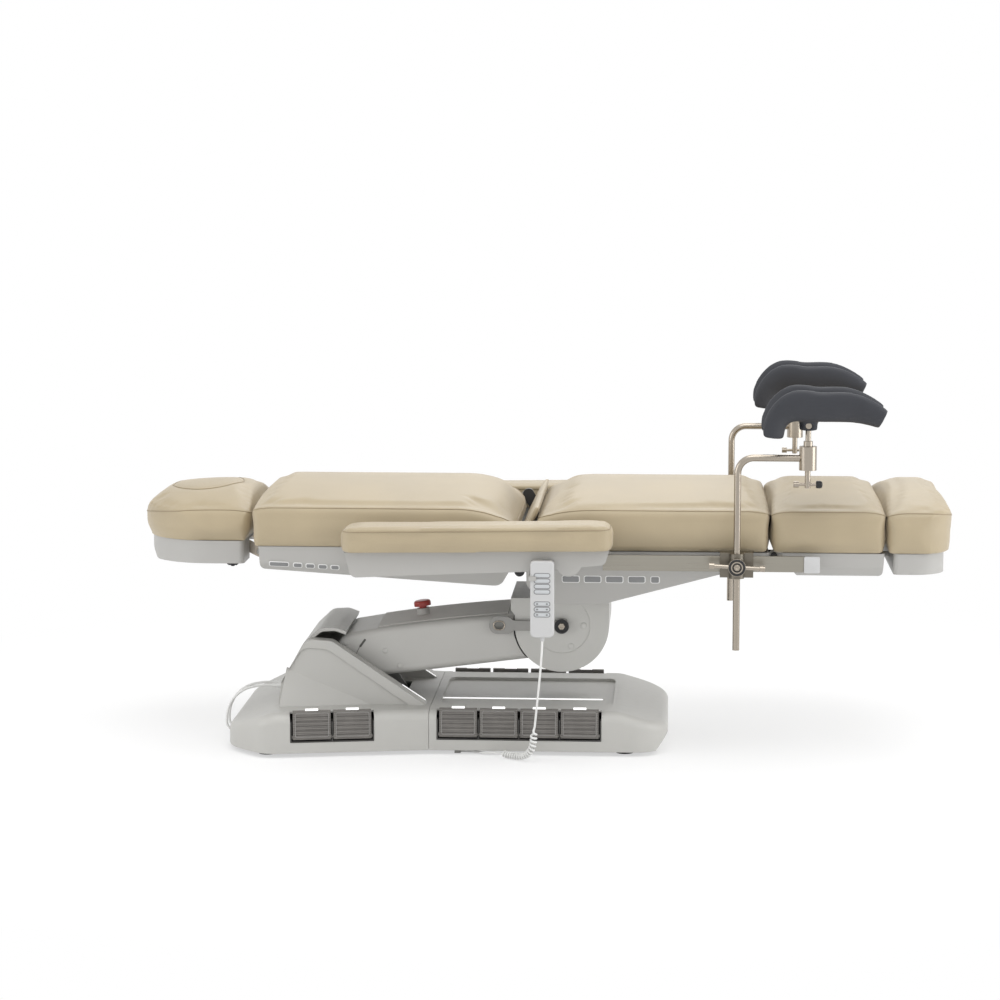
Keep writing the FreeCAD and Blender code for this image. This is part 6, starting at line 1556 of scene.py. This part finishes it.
@dataclass
class Stirrups:
    """Rail clamps, posts and leg crutches."""

    hub: Point = (0.456, 0.3763, 0.468)
    rings: tuple[tuple[float, float], ...] = ((0.0165, 0.0028), (0.0092, 0.0017))
    ring_steps: int = 40
    bolt: list[tuple[float, float]] = field(default_factory=lambda: [
        (0.0076, -0.0004), (0.0076, 0.0030), (0.0068, 0.0038), (0.0030, 0.0038), (0.0026, 0.0028),
    ])
    bar: Point = (0.633, 0.345, 0.656)
    ball: list[tuple[float, float]] = field(default_factory=lambda: [
        (0.0072, 0.0), (0.0084, 0.0018), (0.0088, 0.006), (0.0084, 0.0104), (0.0066, 0.0136), (0.003, 0.0148),
    ])

    def build(self) -> None:
        """Dress the steel and round off the crutches."""
        for side in Side:
            for node in ("stirrup_clamp", "clamp_screw", "crutch_rod"):
                dress_node(f"{node}_{side}", Finish.CLAMP if node == "stirrup_clamp" else Finish.POST)
            dress_node(f"stirrup_post_{side}", Finish.POST)
            Cushion(
                f"crutch_pad_{side}", f"crutch_{side}", voxel=0.0035, swell=0.002, seam=None, tuck=0.0,
                fill=1.0, soften=14, pressure=0.4, slot="crutch_skin", finish=Finish.CRUTCH,
            ).build()
            self._knobs(side)

    def _knobs(self, side: Side) -> None:
        """Black rings and a bolt on the clamp screw's hub, and a black ball on the crutch rod's bar.

        Args:
            side: Which side of the chair.
        """
        x, y, z = self.hub
        body = f"clamp_screw_{side}"
        middle = Vector((x, side.value * y, z))
        for i, (radius, width) in enumerate(self.rings):
            name = f"screw_ring_{side}_{i}"
            ring = [middle + Vector((dx, 0.0, dz)) * radius for dx, dz in circle(self.ring_steps)]
            piece(name, piping(name, ring, width, True), Finish.BLACK, body)
        name = f"screw_bolt_{side}"
        bolt = turned(name, facing(middle, (0.0, side.value, 0.0)), self.bolt, HEXAGON)
        piece(name, bolt, Finish.POST, body)
        x, y, z = self.bar
        name = f"bar_ball_{side}"
        at = facing((x, side.value * y, z), (1.0, 0.0, 0.0), (0.0, 0.0, 1.0))
        ball = turned(name, at, self.ball)
        piece(name, ball, Finish.BLACK, f"crutch_rod_{side}")


# Cords


@dataclass
class Cords:
    """Handset cord and rear leads."""

    cable: float = 0.0026
    lead: float = 0.003
    curl: float = 0.0064
    hanging_turns: int = 6
    lying_turns: int = 13
    hanging_pitch: float = 9.4
    lying_pitch: float = 6.6
    unwind: float = 1.5
    loose_run: float = 2.5
    loose_turn: float = 0.25
    per_turn: int = 12
    fine: float = 0.0002
    run_in: int = 120
    reach: int = 12
    curl_from: int = 2
    curl_to: int = 4
    floor_gap: float = 0.0002
    order: int = 3
    steps_along: int = 8
    steps_round: int = 4
    across: Point = (-0.54, -0.842, 0.0)
    hand_route: list[Point] = field(default_factory=lambda: [
        (0.016, -0.4215, 0.3027), (0.015, -0.4175, 0.2627), (-0.004, -0.345, 0.092),
        (-0.012, -0.330, 0.010), (-0.0903, -0.2798, 0.010), (-0.1038, -0.2711, 0.010),
        (-0.124, -0.2581, 0.0046), (-0.152, -0.234, 0.0046), (-0.184, -0.234, 0.0046),
    ])
    lead_route: list[tuple[float, float]] = field(default_factory=lambda: [
        (-0.654, 0.122), (-0.700, 0.122), (-0.744, 0.098), (-0.766, 0.056), (-0.764, 0.004), (-0.712, 0.004),
    ])
    lead_sides: tuple[float, float] = (-0.062, -0.022)

    def build(self) -> None:
        """Build the cords and dress their plugs."""
        dress_node("lead_plugs", Finish.CORD)
        self._rear_leads()
        self._hand_cord()

    def _spline(self, name: str, points: list[Point], radius: float) -> bpy.types.Object:
        """A smooth cord through control points.

        Args:
            name: Name of the curve.
            points: Control points.
            radius: Radius of the cord, or 0 for a bare line.

        Returns:
            The curve object.
        """
        data = bpy.data.curves.new(name, "CURVE")
        data.dimensions = "3D"
        spline = data.splines.new("NURBS")
        spline.points.add(len(points) - 1)
        for target, p in zip(spline.points, points):
            target.co = (*p, 1.0)
        spline.order_u = self.order
        spline.use_endpoint_u = True
        spline.resolution_u = self.steps_along
        data.bevel_depth = radius
        data.bevel_resolution = self.steps_round
        data.use_fill_caps = radius > 0
        made = bpy.data.objects.new(name, data)
        bpy.context.scene.collection.objects.link(made)
        return made

    def _finish(self, made: bpy.types.Object, node: str | None) -> bpy.types.Object:
        """Dress a cord and set it on the base.

        Args:
            made: The cord.
            node: Solid that it stands for, if any.

        Returns:
            The cord.
        """
        made.data.materials.append(Wardrobe.get(Finish.CORD))
        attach(made, "base")
        if node is not None:
            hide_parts(node)
        log.info("cord %s", made.name)
        return made

    def _rear_leads(self) -> None:
        """Two leads from the tower's plugs to the glands under the base."""
        for i, y in enumerate(self.lead_sides):
            route = [(x, y, z) for x, z in self.lead_route]
            curve = self._spline(f"rear_lead_{i}", route, self.lead)
            made = self._finish(curve, "rear_leads" if i == 0 else None)
            self._length(route)

    def _line(self, route: list[Point]) -> list[Vector]:
        """Points of a route's smooth line.

        Args:
            route: Control points of the route.

        Returns:
            The points.
        """
        bare = self._spline("route_line", route, 0.0)
        mesh = settled(bare)
        points = [v.co.copy() for v in mesh.vertices]
        bpy.data.objects.remove(bare)
        bpy.data.meshes.remove(mesh)
        return points

    def _length(self, route: list[Point]) -> float:
        """Length of a route's smooth line."""
        points = self._line(route)
        return sum((b - a).length for a, b in zip(points, points[1:]))

    def _curl_steps(self) -> list[tuple[float, float, float]]:
        """Steps of the curl, which unwinds towards its two ends.

        Returns:
            Run along the line, turn in radians and share of the full radius at each step.
        """
        turns = self.hanging_turns + self.lying_turns
        run = phase = 0.0
        steps = []
        for i in range(self.per_turn * turns + 1):
            t = i / self.per_turn
            ramp = ease(min(1.0, t / self.unwind, (turns - t) / self.unwind))
            steps.append((run, phase, ramp))
            pitch = self.hanging_pitch if t < self.hanging_turns else self.lying_pitch
            run += pitch / self.per_turn * (self.loose_run + (1 - self.loose_run) * ramp)
            phase += 2 * math.pi / self.per_turn * (self.loose_turn + (1 - self.loose_turn) * ramp)
        return steps

    def _hand_cord(self) -> None:
        """Handset cord: straight, then curled down to the floor and along it, then under the base."""
        line = resample(self._line(self.hand_route), self.fine, False)
        start, end = (
            min(range(len(line)), key=lambda i: (line[i] - Vector(self.hand_route[k])).length)
            for k in (self.curl_from, self.curl_to)
        )
        steps = self._curl_steps()
        total = steps[-1][0]
        points: list[Vector] = [Vector(p) for p in self.hand_route[:self.curl_from]]
        points.append(line[start - self.run_in])
        across = Vector(self.across)
        for run, phase, ramp in steps:
            k = start + round((end - start) * run / total)
            along = (line[min(k + self.reach, len(line) - 1)] - line[max(k - self.reach, 0)]).normalized()
            side = (across - along * across.dot(along)).normalized()
            up = along.cross(side)
            points.append(line[k] + (up * math.cos(phase) + side * math.sin(phase)) * (self.curl * ramp))
        points += [Vector(p) for p in self.hand_route[self.curl_to + 1:]]
        low = self.cable + self.floor_gap
        route = [(p.x, p.y, max(p.z, low)) for p in points]
        made = self._finish(self._spline("handset_cord_line", route, self.cable), "handset_cord")
        self._length(route)


# Studio


@dataclass
class Studio:
    """Camera, floor and soft light."""

    eye: Point = (0.306, -6.729, 1.457)
    pitch: float = 7.5
    yaw: float = 3.5
    lens: float = 101.7
    sensor: float = 36.0
    sight: float = 60.0
    floor_colour: Colour = (0.92, 0.92, 0.92)
    floor_cloud: float = 1.5
    floor_tones: tuple[float, float] = (0.99, 1.01)
    floor_fade: tuple[float, float] = (0.9, 2.0)
    floor_white: float = 0.55
    floor_half: float = 14.0
    floor_level: float = -0.0006
    ambient: float = 0.76
    aim: Point = (0.0, 0.0, 0.45)
    lamps: tuple[tuple[str, Point, float, float], ...] = (
        ("key", (0.8, -1.6, 4.8), 4.0, 114.0),
        ("right", (4.6, -0.9, 1.35), 2.6, 74.0),
        ("left", (-4.0, -2.2, 1.5), 2.6, 44.0),
        ("back", (0.5, 3.6, 3.8), 3.0, 55.0),
    )

    def build(self) -> None:
        """Set up the view and the light."""
        scene = bpy.context.scene
        scene.view_settings.view_transform = "Standard"
        self._camera(scene)
        self._world(scene)
        self._floor()
        for name, at, size, power in self.lamps:
            self._lamp(name, at, size, power)

    def _camera(self, scene: bpy.types.Scene) -> None:
        """Camera at the photographed angle.

        Args:
            scene: The scene that it looks at.
        """
        data = bpy.data.cameras.new("camera")
        data.lens = self.lens
        data.sensor_width = self.sensor
        data.sensor_fit = "HORIZONTAL"
        data.clip_end = self.sight
        made = bpy.data.objects.new("camera", data)
        pitch = math.radians(self.pitch)
        yaw = math.radians(self.yaw)
        look = Vector((-math.sin(yaw) * math.cos(pitch), math.cos(yaw) * math.cos(pitch), -math.sin(pitch)))
        made.rotation_euler = look.to_track_quat("-Z", "Y").to_euler()
        made.location = self.eye
        scene.collection.objects.link(made)
        scene.camera = made

    def _world(self, scene: bpy.types.Scene) -> None:
        """White background with a plain, even light.

        Args:
            scene: The scene that it lights.
        """
        world = bpy.data.worlds.new("studio")
        world.use_nodes = True
        scene.world = world
        b = Board(tree=world.node_tree)
        levels = {"Value": b.seen(), "To Min": self.ambient, "To Max": 1.0}
        amount = b.add("ShaderNodeMapRange", sockets=levels)
        sky = b.add("ShaderNodeBackground", sockets={"Color": (1.0, 1.0, 1.0, 1.0), "Strength": amount})
        b.end("ShaderNodeOutputWorld", sky)

    def _floor(self) -> None:
        """Plain pale floor that keeps the chair's shadow and fades into the white background."""
        mesh = bpy.data.meshes.new("floor")
        s = self.floor_half
        z = self.floor_level
        mesh.from_pydata([(-s, -s, z), (s, -s, z), (s, s, z), (-s, s, z)], [], [(0, 1, 2, 3)])
        made = bpy.data.objects.new("floor", mesh)
        bpy.context.scene.collection.objects.link(made)
        b = Board("floor_pale")
        place = b.place()
        x, y, _ = b.axes(place)
        low, high = (shaded(self.floor_colour, share) for share in self.floor_tones)
        pale = b.blend(b.noise(place, self.floor_cloud, detail=2.0), low, high)
        lit = b.add("ShaderNodeBsdfDiffuse", sockets={"Color": pale})
        white = b.add("ShaderNodeEmission", sockets={"Color": (1.0, 1.0, 1.0, 1.0), "Strength": 1.0})
        far = (x * x + y * y).root().step(*self.floor_fade)
        share = b.seen() * (self.floor_white + far * (1 - self.floor_white))
        b.end("ShaderNodeOutputMaterial", b.add("ShaderNodeMixShader", sockets={0: share, 1: lit, 2: white}))
        mesh.materials.append(b.material)

    def _lamp(self, name: str, at: Point, size: float, power: float) -> None:
        """Square soft lamp that looks at the chair.

        Args:
            name: Name of the lamp.
            at: Its place.
            size: Its side.
            power: Its power in watts.
        """
        data = bpy.data.lights.new(name, "AREA")
        data.size = size
        data.energy = power
        made = bpy.data.objects.new(name, data)
        made.location = at
        made.rotation_euler = (Vector(self.aim) - Vector(at)).to_track_quat("-Z", "Y").to_euler()
        bpy.context.scene.collection.objects.link(made)


def main() -> None:
    """Build the chair's looks and the studio in order."""
    logging.basicConfig(level=logging.INFO, format="%(message)s")
    Studio().build()
    Cords().build()
    Base().build()
    LiftArm().build()
    Knuckle().build()
    Sections().build()
    Handset().build()
    Stirrups().build()
    Upholstery().build()


if __name__ == "__main__":
    main()
